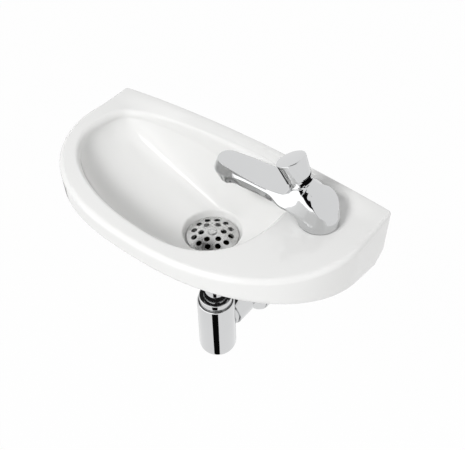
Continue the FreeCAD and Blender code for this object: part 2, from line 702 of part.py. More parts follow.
def trap_top_seal():
    return tube(PIPE_RADIUS + SEAL_CLEARANCE, TRAP_NECK_RADIUS - SEAL_CLEARANCE, NECK_TOP_Z,
                TRAP_NUT_TOP_Z - TRAP_NUT_ROOF)


def trap_body():
    """The cup with its threaded neck and its side branch."""
    shell = Part.makeCone(TRAP_LOW_RADIUS, TRAP_TOP_RADIUS, TRAP_HEIGHT, vec(0, 0, TRAP_BOTTOM_Z))
    shell = round_edges(shell, TRAP_FOOT_RADIUS,
                        lambda box: box.ZMax < TRAP_BOTTOM_Z + PAST)
    shell = round_edges(shell, TRAP_SHOULDER_RADIUS,
                        lambda box: box.ZMin > TRAP_TOP_Z - PAST)
    neck = cylinder(TRAP_NECK_RADIUS, TRAP_TOP_Z - TRAP_ROOF, NECK_TOP_Z)
    outlet_at = vec(0, 0, OUTLET_Z)
    branch = cylinder(BRANCH_RADIUS, 0, BRANCH_LENGTH, INTO_WALL, outlet_at)
    cavity = Part.makeCone(TRAP_LOW_RADIUS - TRAP_WALL, TRAP_TOP_RADIUS - TRAP_WALL,
                           TRAP_HEIGHT - TRAP_WALL - TRAP_ROOF, vec(0, 0, TRAP_BOTTOM_Z + TRAP_WALL))
    cavity = round_edges(cavity, TRAP_FOOT_RADIUS - TRAP_WALL,
                         lambda box: box.ZMax < TRAP_BOTTOM_Z + TRAP_WALL + PAST)
    cuts = [cavity,
            cylinder(PIPE_RADIUS + SEAL_CLEARANCE, TRAP_TOP_Z - TRAP_ROOF - PAST, NECK_TOP_Z + PAST),
            cylinder(BRANCH_WATERWAY, 0, BRANCH_LENGTH + PAST, INTO_WALL, outlet_at),
            cylinder(PIPE_RADIUS + SEAL_CLEARANCE, OUTLET_PIPE_START, BRANCH_LENGTH + PAST, INTO_WALL,
                     outlet_at)]
    return one_solid(shell.fuse([neck, branch]).cut(cuts))


def on_outlet(shape):
    """Lay a piece that was turned round Z along the outlet: its Z becomes the distance into the wall."""
    shape.rotate(vec(0, 0, 0), vec(1, 0, 0), -90)
    shape.translate(vec(WASTE_X, 0, OUTLET_Z))
    return shape


def trap_outlet_seal():
    return tube(PIPE_RADIUS + SEAL_CLEARANCE, BRANCH_RADIUS - SEAL_CLEARANCE, BRANCH_END_Y,
                BRANCH_END_Y + OUTLET_SEAL_THICKNESS)


def trap_outlet_nut():
    throat = PIPE_RADIUS + SEAL_CLEARANCE
    bore = BRANCH_RADIUS + THREAD_CLEARANCE
    start = WASTE_Y + TRAP_LOW_RADIUS + OUTLET_NUT_GAP
    lip = OUTLET_NUT_END_Y - OUTLET_NUT_LIP
    return turned([(bore, start), (OUTLET_NUT_RADIUS, start), (OUTLET_NUT_RADIUS, OUTLET_NUT_END_Y),
                   (throat, OUTLET_NUT_END_Y), (throat, lip), (bore, lip)])


def trap_outlet_pipe():
    """A plain pipe; a shallow ring rolled into it behind the rosette marks how far it enters the wall."""
    pipe = tube(PIPE_RADIUS - PIPE_WALL, PIPE_RADIUS, WASTE_Y + OUTLET_PIPE_START, PIPE_PAST_WALL)
    mark = tube(PIPE_RADIUS - PIPE_MARK_DEPTH, PIPE_RADIUS + PAST, -PIPE_MARK_WIDTH, 0)
    return pipe.cut(mark)


def wall_rosette():
    """A thin turned cover: a neck on the pipe that flares to a dish against the wall."""
    throat = PIPE_RADIUS + SEAL_CLEARANCE
    inner_neck = ROSETTE_NECK_RADIUS - ROSETTE_WALL
    inner_dish = ROSETTE_RADIUS - ROSETTE_WALL
    dish = turned([(throat, -ROSETTE_DEPTH), (ROSETTE_NECK_RADIUS, -ROSETTE_DEPTH),
                   (ROSETTE_NECK_RADIUS, -ROSETTE_RIM), (ROSETTE_RADIUS, -ROSETTE_RIM), (ROSETTE_RADIUS, 0),
                   (inner_dish, 0), (inner_dish, ROSETTE_WALL - ROSETTE_RIM),
                   (inner_neck, ROSETTE_WALL - ROSETTE_RIM), (inner_neck, ROSETTE_WALL - ROSETTE_DEPTH),
                   (throat, ROSETTE_WALL - ROSETTE_DEPTH)])
    return round_edges(dish, ROSETTE_EDGE,
                       lambda box: abs(box.ZMin + ROSETTE_RIM) < PAST / 2 and box.ZLength < PAST / 2
                       and box.XLength > 2 * ROSETTE_RADIUS - PAST)


# Tap, made in its own frame and then set on the ledge

def on_ledge(shape):
    shape.rotate(vec(0, 0, 0), UP, SPOUT_TURN)
    shape.translate(vec(TAP_X, TAP_Y, TAP_Z))
    return shape


def on_push_axis(shape):
    """Lean a piece that was turned round Z on to the push axis, whose zero is the boss face."""
    shape.rotate(vec(0, 0, 0), vec(0, 1, 0), PUSH_LEAN)
    shape.translate(vec(BOSS_REACH, 0, BOSS_HEIGHT))
    return on_ledge(shape)


def spout_plan(height, root_half, spout_half, taper=0, bulge=0, tilt=0):
    """The spout from above: a round root that flows into tapering sides and a round end.
    The height is the outlet's, and with tilt, in degrees, the outline climbs towards the root."""
    climb = math.tan(math.radians(tilt))

    def at(reach, across):
        return vec(reach, across, height + (OUTLET_REACH - reach) * climb)

    handle = SPOUT_FLARE_END / 2
    wide = spout_half + taper
    edges = []
    for side in (1, -1):
        flare = Part.BezierCurve()
        flare.setPoles([at(0, side * root_half), at(handle, side * root_half), at(handle, side * wide),
                        at(SPOUT_FLARE_END, side * wide)])
        straight = Part.LineSegment(at(SPOUT_FLARE_END, side * wide), at(OUTLET_REACH, side * spout_half))
        edges += [flare.toShape(), straight.toShape()]
    edges.append(Part.Arc(at(OUTLET_REACH, spout_half), at(OUTLET_REACH + spout_half + bulge, 0),
                          at(OUTLET_REACH, -spout_half)).toShape())
    edges.append(Part.Arc(at(0, -root_half), at(-root_half, 0), at(0, root_half)).toShape())
    return Part.Wire(Part.__sortEdges__(edges))


def side_prism(corners):
    """A polygon of (reach, height) points in the tap's side view, carried across the whole tap."""
    points = [vec(reach, -2 * BASE_RADIUS, z) for reach, z in corners]
    return Part.Face(Part.makePolygon(points + points[:1])).extrude(vec(0, 4 * BASE_RADIUS, 0))


def spout():
    """Flat on top and rising to the outlet, widest below that top, and drawn in to a level underside."""
    end_top = SPOUT_TOP + OUTLET_REACH * RISE_SLOPE
    low = spout_plan(0, BASE_RADIUS, SPOUT_HALF_LOW)
    lip = spout_plan(OUTLET_FACE_Z, BASE_RADIUS, SPOUT_HALF_LOW)
    wide = spout_plan(SPOUT_WIDE_HEIGHT, ROOT_HALF_WIDE, SPOUT_HALF_WIDE, SPOUT_TAPER, NOSE_BULGE,
                      SPOUT_WIDE_TILT)
    top = spout_plan(end_top + PAST, ROOT_HALF_TOP, SPOUT_HALF_TOP, SPOUT_TAPER)
    levels = (low, lip, wide, top)
    layers = [Part.makeLoft([below, above], True, True) for below, above in zip(levels, levels[1:])]
    end = OUTLET_REACH + SPOUT_HALF_WIDE + NOSE_BULGE + PAST
    start = -BASE_RADIUS - PAST
    lip_start = OUTLET_REACH - SPOUT_HALF_LOW
    side = side_prism([(start, 0), (start, SPOUT_TOP + start * RISE_SLOPE),
                       (end, SPOUT_TOP + end * RISE_SLOPE), (end, OUTLET_FACE_Z), (lip_start, OUTLET_FACE_Z),
                       (lip_start - OUTLET_LIP_DROP, SPOUT_UNDERSIDE), (SPOUT_ROOT, SPOUT_UNDERSIDE),
                       (BASE_RADIUS, FOOT_WALL), (BASE_RADIUS, 0)])
    return layers[0].fuse(layers[1:]).common(side)


def leaning_ring(radius, reach, height, lean):
    """A circle in the tap's frame whose axis leans towards the spout."""
    turn = math.radians(lean)
    return Part.Wire(Part.makeCircle(radius, vec(reach, 0, height), vec(math.sin(turn), 0, math.cos(turn))))


def pillar():
    """A round foot that narrows and leans over to the boss face."""
    foot = cylinder(BASE_RADIUS, 0, SHOULDER_HEIGHT)
    neck = Part.makeLoft([leaning_ring(BASE_RADIUS, 0, SHOULDER_HEIGHT, 0),
                          leaning_ring(WAIST_RADIUS, WAIST_REACH, WAIST_HEIGHT, PUSH_LEAN / 2),
                          leaning_ring(BOSS_RADIUS, BOSS_REACH, BOSS_HEIGHT, PUSH_LEAN)], True)
    return foot.fuse(neck)


def rear_facet():
    """All that the flat oval at the rear of the tap takes away."""
    rise = math.tan(math.radians(FACET_RISE))
    start = -2 * BASE_RADIUS
    end = BOSS_REACH + BOSS_RADIUS
    high = FACET_LOW + (end + BASE_RADIUS) * rise
    return side_prism([(start, FACET_LOW + (start + BASE_RADIUS) * rise), (end, high), (start, high)])


def push_bore(radius, start, end):
    bore = cylinder(radius, start, end)
    bore.rotate(vec(0, 0, 0), vec(0, 1, 0), PUSH_LEAN)
    bore.translate(vec(BOSS_REACH, 0, BOSS_HEIGHT))
    return bore


def tap_body():
    """The cast body, bored for the shank, the cartridge, the waterway and the outlet."""
    along = vec(1, 0, 0)
    body = pillar().fuse(spout()).cut(rear_facet())
    inlet_top = BOSS_HEIGHT - CARTRIDGE_DEPTH * LEAN_COS + INLET_BORE_RADIUS
    cuts = [cylinder(SHANK_RADIUS + THREAD_CLEARANCE, -PAST, SHANK_SOCKET),
            cylinder(INLET_BORE_RADIUS, SHANK_SOCKET - PAST, inlet_top, UP, vec(INLET_BORE_REACH, 0, 0)),
            push_bore(CARTRIDGE_RADIUS + THREAD_CLEARANCE, -CARTRIDGE_DEPTH, PAST),
            cylinder(WATERWAY_RADIUS, BASE_RADIUS, OUTLET_REACH, along, vec(0, 0, WATERWAY_HEIGHT)),
            cylinder(OUTLET_BORE_RADIUS, 0, OUTLET_BORE_HEIGHT, UP, vec(OUTLET_REACH, 0, 0))]
    return one_solid(body.cut(cuts))


def push_button():
    """A tapered cap, hollow below, with a boss inside its roof for the stem."""
    cap = turned([(0, BUTTON_GAP), (BUTTON_LOW_RADIUS, BUTTON_GAP), (BUTTON_TOP_RADIUS, BUTTON_TOP),
                  (0, BUTTON_TOP)])
    cap = round_edges(cap, BUTTON_EDGE_RADIUS, lambda box: box.ZMin > BUTTON_TOP - PAST / 2)
    cavity = cylinder(BUTTON_BORE_RADIUS, BUTTON_GAP - PAST, BUTTON_CEILING)
    boss_foot = BUTTON_CEILING - BUTTON_BOSS_LENGTH
    boss = cylinder(BUTTON_BOSS_RADIUS, boss_foot, BUTTON_CEILING)
    socket = cylinder(STEM_RADIUS + RUNNING_CLEARANCE, boss_foot - PAST, BUTTON_CEILING)
    return one_solid(cap.cut(cavity.cut(boss)).cut(socket))


def cartridge_housing():
    """Sleeve and head in one, with the valve bore below, the chamber above it and two side ports."""
    sleeve = cylinder(CARTRIDGE_RADIUS, -CARTRIDGE_DEPTH, 0)
    head = cylinder(CARTRIDGE_HEAD_RADIUS, 0, CARTRIDGE_HEAD_HEIGHT)
    cuts = [cylinder(VALVE_BORE_RADIUS, -CARTRIDGE_DEPTH - PAST, VALVE_SHOULDER),
            cylinder(CHAMBER_RADIUS, VALVE_SHOULDER - PAST, CHAMBER_TOP),
            cylinder(STEM_RADIUS + RUNNING_CLEARANCE, CHAMBER_TOP - PAST, CARTRIDGE_HEAD_HEIGHT + PAST),
            cylinder(PORT_RADIUS, -CARTRIDGE_RADIUS - PAST, CARTRIDGE_RADIUS + PAST, vec(1, 0, 0),
                     vec(0, 0, PORT_PLACE))]
    groove_floor = CARTRIDGE_RADIUS - O_RING_DEPTH
    for place in O_RING_PLACES:
        cuts.append(tube(groove_floor, CARTRIDGE_RADIUS + PAST, place - O_RING_WIDTH / 2,
                         place + O_RING_WIDTH / 2))
    return one_solid(sleeve.fuse(head).cut(cuts))


def cartridge_o_rings():
    rings = []
    for place in O_RING_PLACES:
        rings.append(tube(CARTRIDGE_RADIUS - O_RING_DEPTH, CARTRIDGE_RADIUS, place - O_RING_WIDTH / 2,
                          place + O_RING_WIDTH / 2))
    return Part.makeCompound(rings)


def cartridge_stem():
    return cylinder(STEM_RADIUS, PISTON_FOOT, BUTTON_CEILING)


def valve_piston():
    return tube(STEM_RADIUS + RUNNING_CLEARANCE, VALVE_BORE_RADIUS - THREAD_CLEARANCE, PISTON_FOOT,
                PISTON_TOP)


def valve_seal():
    return tube(STEM_RADIUS + RUNNING_CLEARANCE, VALVE_BORE_RADIUS - SEAL_CLEARANCE, PISTON_TOP,
                VALVE_SHOULDER)


def return_spring():
    """One helix of round wire between the cartridge head and the roof of the button.
    Each quarter turn is one arc."""
    low = CARTRIDGE_HEAD_HEIGHT + SPRING_WIRE_RADIUS
    high = BUTTON_CEILING - SPRING_WIRE_RADIUS
    pitch = (high - low - 2 * SPRING_WIRE_RADIUS) / SPRING_TURNS
    start = low + SPRING_WIRE_RADIUS

    def on_helix(turns):
        angle = 2 * math.pi * turns
        return vec(SPRING_COIL_RADIUS * math.cos(angle), SPRING_COIL_RADIUS * math.sin(angle),
                   start + pitch * turns)

    quarter = 0.25
    edges = []
    for step in range(int(SPRING_TURNS / quarter)):
        first = step * quarter
        edges.append(Part.Arc(on_helix(first), on_helix(first + quarter / 2),
                              on_helix(first + quarter)).toShape())
    path = Part.Wire(edges)
    tangent = vec(0, 2 * math.pi * SPRING_COIL_RADIUS, pitch)
    section = Part.Wire(Part.makeCircle(SPRING_WIRE_RADIUS, on_helix(0), tangent))
    return path.makePipeShell([section], True, False)


def on_outlet_axis(shape):
    """Set a piece that was turned round Z on the outlet's axis, with Z = 0 at the outlet's mouth."""
    shape.translate(vec(OUTLET_REACH, 0, OUTLET_FACE_Z))
    return on_ledge(shape)


AERATOR_RADIUS = OUTLET_BORE_RADIUS - THREAD_CLEARANCE
AERATOR_BORE = AERATOR_RADIUS - AERATOR_WALL
AERATOR_TOP = OUTLET_BORE_HEIGHT - OUTLET_FACE_Z - AERATOR_SEAL_THICKNESS
AERATOR_FOOT = AERATOR_TOP - AERATOR_HEIGHT


def aerator_housing():
    throat = AERATOR_BORE - AERATOR_LIP_WIDTH
    lip_top = AERATOR_FOOT + AERATOR_LIP
    return turned([(throat, AERATOR_FOOT), (AERATOR_RADIUS, AERATOR_FOOT), (AERATOR_RADIUS, AERATOR_TOP),
                   (AERATOR_BORE, AERATOR_TOP), (AERATOR_BORE, lip_top), (throat, lip_top)])


def aerator_insert():
    foot = AERATOR_FOOT + AERATOR_LIP
    top = foot + AERATOR_INSERT_HEIGHT
    jets = []
    for step in range(AERATOR_JETS):
        turn = 2 * math.pi * step / AERATOR_JETS
        at = vec(AERATOR_JET_RING * math.cos(turn), AERATOR_JET_RING * math.sin(turn), 0)
        jets.append(cylinder(AERATOR_JET_RADIUS, foot - PAST, top + PAST, UP, at))
    return cylinder(AERATOR_BORE - THREAD_CLEARANCE, foot, top).cut(jets)


def aerator_seal():
    return tube(AERATOR_BORE - AERATOR_LIP_WIDTH, AERATOR_RADIUS, AERATOR_TOP,
                AERATOR_TOP + AERATOR_SEAL_THICKNESS)


def tap_base_seal():
    return tube(FIXING_BORE, BASE_RADIUS - BASE_SEAL_INSET, -BASE_SEAL_THICKNESS, 0)


FIXING_TOP = -BASE_SEAL_THICKNESS - DECK_THICKNESS
WASHER_TOP = FIXING_TOP - FIXING_SEAL_THICKNESS
BACKNUT_TOP = WASHER_TOP - FIXING_WASHER_THICKNESS
BACKNUT_FOOT = BACKNUT_TOP - BACKNUT_HEIGHT


def tap_shank():
    """A threaded tail; a relief below the backnut parts the nut's thread from the hose's."""
    tail = tube(SHANK_BORE_RADIUS, SHANK_RADIUS, FIXING_TOP - SHANK_BELOW_DECK, SHANK_SOCKET)
    relief = tube(SHANK_RADIUS - SHANK_RELIEF_DEPTH, SHANK_RADIUS + PAST,
                  BACKNUT_FOOT - SHANK_RELIEF_WIDTH, BACKNUT_FOOT)
    return tail.cut(relief)


def tap_fixing_seal():
    return tube(FIXING_BORE, FIXING_RADIUS, WASHER_TOP, FIXING_TOP)


def tap_fixing_washer():
    return tube(FIXING_BORE, FIXING_RADIUS, BACKNUT_TOP, WASHER_TOP)


def tap_backnut():
    nut = hexagon(BACKNUT_WIDTH, BACKNUT_HEIGHT, SHANK_RADIUS + THREAD_CLEARANCE)
    nut.translate(vec(0, 0, BACKNUT_FOOT))
    return nut


# Every piece by its node's name

PIECES = {
    "basin": basin(),
    "wall_bolts": bolt_pair(wall_bolt),
    "bolt_bushes": bolt_pair(bolt_bush),
    "bolt_washers": bolt_pair(bolt_washer),
    "bolt_nuts": bolt_pair(bolt_nut),
    "waste_top_seal": on_waste(waste_top_seal()),
    "waste_grille": on_waste(waste_grille()),
    "waste_screw": on_waste(waste_screw()),
    "waste_lower_seal": on_waste(waste_lower_seal()),
    "waste_body": on_waste(waste_body()),
    "waste_bridge_nut": on_waste(waste_bridge_nut()),
    "trap_inlet_nut": on_waste(trap_inlet_nut()),
    "trap_inlet_seal": on_waste(trap_inlet_seal()),
    "trap_tailpipe": on_waste(trap_tailpipe()),
    "trap_top_nut": on_waste(trap_top_nut()),
    "trap_top_seal": on_waste(trap_top_seal()),
    "trap_body": on_waste(trap_body()),
    "trap_outlet_seal": on_outlet(trap_outlet_seal()),
    "trap_outlet_nut": on_outlet(trap_outlet_nut()),
    "trap_outlet_pipe": on_outlet(trap_outlet_pipe()),
    "wall_rosette": on_outlet(wall_rosette()),
    "tap_body": on_ledge(tap_body()),
    "tap_base_seal": on_ledge(tap_base_seal()),
    "tap_shank": on_ledge(tap_shank()),
    "tap_fixing_seal": on_ledge(tap_fixing_seal()),
    "tap_fixing_washer": on_ledge(tap_fixing_washer()),
    "tap_backnut": on_ledge(tap_backnut()),
    "aerator_housing": on_outlet_axis(aerator_housing()),
    "aerator_insert": on_outlet_axis(aerator_insert()),
    "aerator_seal": on_outlet_axis(aerator_seal()),
    "push_button": on_push_axis(push_button()),
    "cartridge_housing": on_push_axis(cartridge_housing()),
    "cartridge_o_rings": on_push_axis(cartridge_o_rings()),
    "cartridge_stem": on_push_axis(cartridge_stem()),
    "valve_piston": on_push_axis(valve_piston()),
    "valve_seal": on_push_axis(valve_seal()),
    "return_spring": on_push_axis(return_spring()),
}

os.makedirs("parts", exist_ok=True)
for name, shape in PIECES.items():
    shape.exportStep(f"parts/{name}.step")
    print(f"{name}: {len(shape.Solids)} solid, {shape.Volume:.0f} mm3, valid {shape.isValid()}")
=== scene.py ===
# %% [markdown]
# # A small hand basin with a push tap and a bottle trap
# The basin is white glazed ceramic, hung on a wall by two bolts. A chrome tap stands on its right
# ledge, a round steel grille covers the waste, and a chrome bottle trap hangs below and leaves
# through the wall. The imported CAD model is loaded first, as a fixed frame. Every piece made here is
# written in that frame's own coordinates, so it stands where its CAD node stands.

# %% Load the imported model
import json
import math

import bpy
import numpy as np
from mathutils import Matrix


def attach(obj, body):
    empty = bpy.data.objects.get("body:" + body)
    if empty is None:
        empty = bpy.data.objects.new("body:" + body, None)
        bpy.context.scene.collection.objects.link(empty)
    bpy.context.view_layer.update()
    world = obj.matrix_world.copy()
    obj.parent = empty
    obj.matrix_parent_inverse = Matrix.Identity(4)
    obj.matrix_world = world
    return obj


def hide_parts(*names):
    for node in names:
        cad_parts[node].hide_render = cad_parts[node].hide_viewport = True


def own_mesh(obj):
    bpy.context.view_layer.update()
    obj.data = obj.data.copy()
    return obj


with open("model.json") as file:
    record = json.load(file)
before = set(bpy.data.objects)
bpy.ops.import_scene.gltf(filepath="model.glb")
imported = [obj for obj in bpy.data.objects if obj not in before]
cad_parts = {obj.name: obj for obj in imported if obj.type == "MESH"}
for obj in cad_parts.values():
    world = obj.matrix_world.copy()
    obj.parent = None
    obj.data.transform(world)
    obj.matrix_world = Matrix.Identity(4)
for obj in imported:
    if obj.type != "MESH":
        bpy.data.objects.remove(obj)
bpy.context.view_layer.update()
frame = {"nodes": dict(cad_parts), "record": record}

# %% [markdown]
# ## How the surfaces are made
# All new pieces are closed skins. A skin is a grid of points: each row is a closed ring, and the
# rows follow each other from one end of the piece to the other. The grid is worked out in
# millimetres as one numpy array and handed to Blender in one go. The volume that the skin encloses
# tells whether its faces point outwards, and if they don't, their order is turned round.

# %% A grid of rings becomes a mesh
MILLIMETRE = 0.001


def grid_faces(rows, columns, rows_close):
    """Four corners for each cell between a ring and the next; the columns always close on themselves."""
    row, column = np.meshgrid(np.arange(rows if rows_close else rows - 1), np.arange(columns), indexing="ij")
    after = (column + 1) % columns
    below = (row + 1) % rows
    corners = [row * columns + column, row * columns + after,
               below * columns + after, below * columns + column]
    return np.stack(corners, axis=-1).reshape(-1, 4)


def enclosed_volume(points, faces):
    """A sum of signed cones from the origin, one for each of the two triangles of every cell."""
    a, b, c, d = (points[faces[:, k]] for k in range(4))
    return (a * (np.cross(b, c) + np.cross(c, d))).sum() / 6


def mesh_from_faces(name, points, faces):
    """Points in millimetres and an array of four-cornered faces, as a Blender mesh in metres."""
    mesh = bpy.data.meshes.new(name)
    mesh.vertices.add(len(points))
    mesh.vertices.foreach_set("co", (points * MILLIMETRE).astype(np.float32).ravel())
    mesh.loops.add(faces.size)
    mesh.loops.foreach_set("vertex_index", faces.astype(np.int32).ravel())
    mesh.polygons.add(len(faces))
    mesh.polygons.foreach_set("loop_start", np.arange(0, faces.size, 4, dtype=np.int32))
    mesh.update(calc_edges=True)
    return mesh


def skin(name, rings, rows_close=False, crease=35):
    """A closed skin from rings of points; open ends must already have shrunk to a point or a line.
    Doubled points are merged, faces are turned outwards, and edges sharper than crease stay crisp."""
    rows, columns, _ = rings.shape
    points = rings.reshape(-1, 3)
    faces = grid_faces(rows, columns, rows_close)
    if enclosed_volume(points, faces) < 0:
        faces = faces[:, ::-1]
    piece = bpy.data.objects.new(name, mesh_from_faces(name, points, faces))
    bpy.context.scene.collection.objects.link(piece)
    weld(piece)
    smooth(piece, crease)
    print(f"{name}: {rows} rings of {columns} points, {len(piece.data.polygons)} faces")
    return piece


# %% Welding, smoothing and cutting
def finished_mesh(piece):
    """The piece's mesh with its modifiers worked in, so that none is left on it."""
    seen = piece.evaluated_get(bpy.context.evaluated_depsgraph_get())
    mesh = bpy.data.meshes.new_from_object(seen)
    piece.modifiers.clear()
    old = piece.data
    piece.data = mesh
    bpy.data.meshes.remove(old)


def weld(piece, distance=0.00001):
    """Merge points that lie on each other, as they do where a ring has shrunk to a point."""
    joiner = piece.modifiers.new("weld", "WELD")
    joiner.merge_threshold = distance
    finished_mesh(piece)


def smooth(piece, crease):
    """Smooth shading, with edges kept crisp where two faces meet at more than crease degrees."""
    piece.data.shade_smooth()
    piece.data.set_sharp_from_angle(angle=math.radians(crease))


def carve(piece, tool, operation="DIFFERENCE", crease=35):
    """Cut a tool's shape out of a piece, or join the two, and throw the tool away."""
    change = piece.modifiers.new("carve", "BOOLEAN")
    change.operation = operation
    change.solver = "EXACT"
    change.object = tool
    finished_mesh(piece)
    worn = tool.data
    bpy.data.objects.remove(tool)
    bpy.data.meshes.remove(worn)
    smooth(piece, crease)


# %% [markdown]
# ## Turned pieces
# The trap, the pipes and the push button are turned on a lathe or drawn in round dies, so each is
# a profile carried round an axis. A hand-made edge is never perfectly sharp: every corner of a
# profile is drawn as a small curve, which is what catches a thin line of light on polished metal.

# %% Rounded profiles and the lathe
def curve_ends(corner, radius, most):
    """Where each corner's curve starts and ends on the two sides that meet there.
    Both lie radius away from the corner, or most times the side's length where that is less."""
    ends = []
    for step in (1, -1):
        side = np.roll(corner, step, axis=-2) - corner
        length = np.maximum(np.linalg.norm(side, axis=-1, keepdims=True), 1e-6)
        ends.append(corner + side * np.minimum(radius / length, most))
    return ends


def bezier(start, middle, end, share):
    """A quadratic Bezier: (1 - s)^2 start + 2 s (1 - s) middle + s^2 end, for each share s."""
    return (1 - share) ** 2 * start + 2 * share * (1 - share) * middle + share ** 2 * end


def rounded(corners, radii, steps=5):
    """A closed profile whose corners are replaced by short quadratic Bezier curves."""
    corner = np.asarray(corners, float)
    radius = np.broadcast_to(np.asarray(radii, float), len(corner))[:, None]
    leave, enter = curve_ends(corner, radius, 0.5)
    share = np.linspace(0, 1, steps)[None, :, None]
    return bezier(leave[:, None], corner[:, None], enter[:, None], share).reshape(-1, 2)


def axis_frame(origin, axis):
    """Two unit directions across an axis and the axis itself, as the rows of a matrix."""
    along = np.asarray(axis, float) / np.linalg.norm(axis)
    helper = np.array([1.0, 0, 0]) if abs(along[0]) < 0.9 else np.array([0, 1.0, 0])
    across = np.cross(along, helper)
    across /= np.linalg.norm(across)
    return np.asarray(origin, float), np.stack([across, np.cross(along, across), along])


def lathe(name, profile, origin, axis, segments=96, closed=True, crease=35):
    """Carry a profile of (radius, distance along the axis) pairs once round the axis."""
    place, directions = axis_frame(origin, axis)
    turn = np.linspace(0, 2 * np.pi, segments, endpoint=False)
    radius, along = profile[:, 0][:, None], profile[:, 1][:, None]
    local = np.stack([radius * np.cos(turn), radius * np.sin(turn), along + 0 * turn], axis=-1)
    return skin(name, place + local @ directions, rows_close=closed, crease=crease)


# %% [markdown]
# ## The camera
# The photograph looks down on the basin from its front right, about 45 degrees above the level.
# The camera was solved from the round grille and the basin's outline. The lens keeps its small
# shift, because the basin doesn't sit in the middle of the photograph.

# %% Camera
IMAGE_WIDTH = 465
FOCAL_PIXELS = 650
CAMERA_AT = np.array([385.537, -504.559, 559.307])
CAMERA_RIGHT = np.array([0.796698, 0.604366, 0.003706])
CAMERA_UP = np.array([-0.431511, 0.564520, 0.703644])
LENS_SHIFT = -0.0356, 0.0130


def stand(data, right, up, place):
    """An object that holds a camera or a lamp at a place in metres.
    Its own x and y axes point right and up, and it looks away from their cross product."""
    held = bpy.data.objects.new(data.name, data)
    bpy.context.scene.collection.objects.link(held)
    pose = np.eye(4)
    pose[:3] = np.stack([right, up, np.cross(right, up), place], axis=1)
    held.matrix_world = Matrix(pose.tolist())
    return held


lens = bpy.data.cameras.new("photo_camera")
lens.sensor_width = 36
lens.lens = lens.sensor_width * FOCAL_PIXELS / IMAGE_WIDTH
lens.shift_x, lens.shift_y = LENS_SHIFT
lens.clip_start = 0.01
lens.clip_end = 50
bpy.context.scene.camera = stand(lens, CAMERA_RIGHT, CAMERA_UP, CAMERA_AT * MILLIMETRE)
print("camera at", CAMERA_AT, "lens", round(lens.lens, 2), "mm")

# %% [markdown]
# ## The basin's plan
# Seen from above the basin is a D: a straight back against the wall, straight sides and one full
# front curve. Everything on the basin is worked out in columns that start on this outline. Each
# column is a direction as seen from the waste, so the same column gives the bowl, the rim and the
# skirt, and the whole basin is one skin with no seams.

# %% Plan outlines
HALF_WIDTH, PROJECTION = 201.5, 206.0
SIDE_STRAIGHT, FRONT_POWER = 65.0, 2.4
CORNER = 5.0
WASTE, PLAN_MIDDLE = np.array([11.0, -82.0]), np.array([0, -90.0])
SKIRT_WALL, BACK_WALL = 11.0, 13.0
COLUMNS = {"back": 150, "corner": 14, "side": 40, "front": 289}


def d_outline(inset, back_y):
    """Half the back, a quarter circle at the corner and the side, their mirror image, and the front between.
    The front is |x / half|^power + (y / bulge)^2 = 1, with its points spaced evenly along it.
    Returns one closed ring that starts at the back's middle and goes to the right."""
    half, bulge = HALF_WIDTH - inset, PROJECTION - inset - SIDE_STRAIGHT
    back = np.linspace(0, half - CORNER, COLUMNS["back"] // 2, endpoint=False)
    bend = np.linspace(0, np.pi / 2, COLUMNS["corner"], endpoint=False)
    side = np.linspace(back_y - CORNER, -SIDE_STRAIGHT, COLUMNS["side"], endpoint=False)
    x = np.concatenate([back, half - CORNER + CORNER * np.sin(bend), half + 0 * side])
    y = np.concatenate([back_y + 0 * back, back_y - CORNER + CORNER * np.cos(bend), side])
    right = np.stack([x, y], axis=1)
    left = right[:0:-1] * [-1, 1]
    fine = np.linspace(0, np.pi, 20001)
    x = np.sign(np.cos(fine)) * np.abs(np.cos(fine)) ** (2 / FRONT_POWER) * half
    y = -SIDE_STRAIGHT - bulge * np.sin(fine)
    length = np.concatenate([[0], np.cumsum(np.hypot(np.diff(x), np.diff(y)))])
    even = np.linspace(0, length[-1], COLUMNS["front"])
    front = np.stack([np.interp(even, length, x), np.interp(even, length, y)], axis=1)
    return np.concatenate([right, front, left])


outer_plan = d_outline(0, 0)
inner_plan = d_outline(SKIRT_WALL, -BACK_WALL)
ring_tangent = np.roll(outer_plan, -1, axis=0) - np.roll(outer_plan, 1, axis=0)
outward = np.stack([ring_tangent[:, 1], -ring_tangent[:, 0]], axis=1)
outward /= np.linalg.norm(outward, axis=1, keepdims=True)
outward *= np.sign((outward * (outer_plan - PLAN_MIDDLE)).sum(axis=1, keepdims=True))
print("basin columns:", len(outer_plan), "plan:", np.ptp(outer_plan, axis=0))

# %% [markdown]
# ## The bowl
# The bowl is off centre: it runs far to the left and stops short of the tap's ledge on the right.
# Its plan is a superellipse with its own reach to each side and its own roundness in each quarter.
# With depth each reach eases down to the round floor, gently on the left and more steeply on the
# right, which gives the long slope on the left that the photograph shows.

# %% Bowl formula
BOWL_DEPTH, FLOOR_RADIUS, RIM_Z = 80.0, 39.0, 72.0
LIP_REACH = {"left": 184.5, "right": 94.5, "back": 60.0, "front": 101.0}
EASE = {"left": 2.1, "right": 3.0, "back": 1.5, "front": 2.2}
BACK_POWER, FRONT_RIGHT_POWER, FRONT_LEFT_POWER = 4.5, 2.45, 2.1


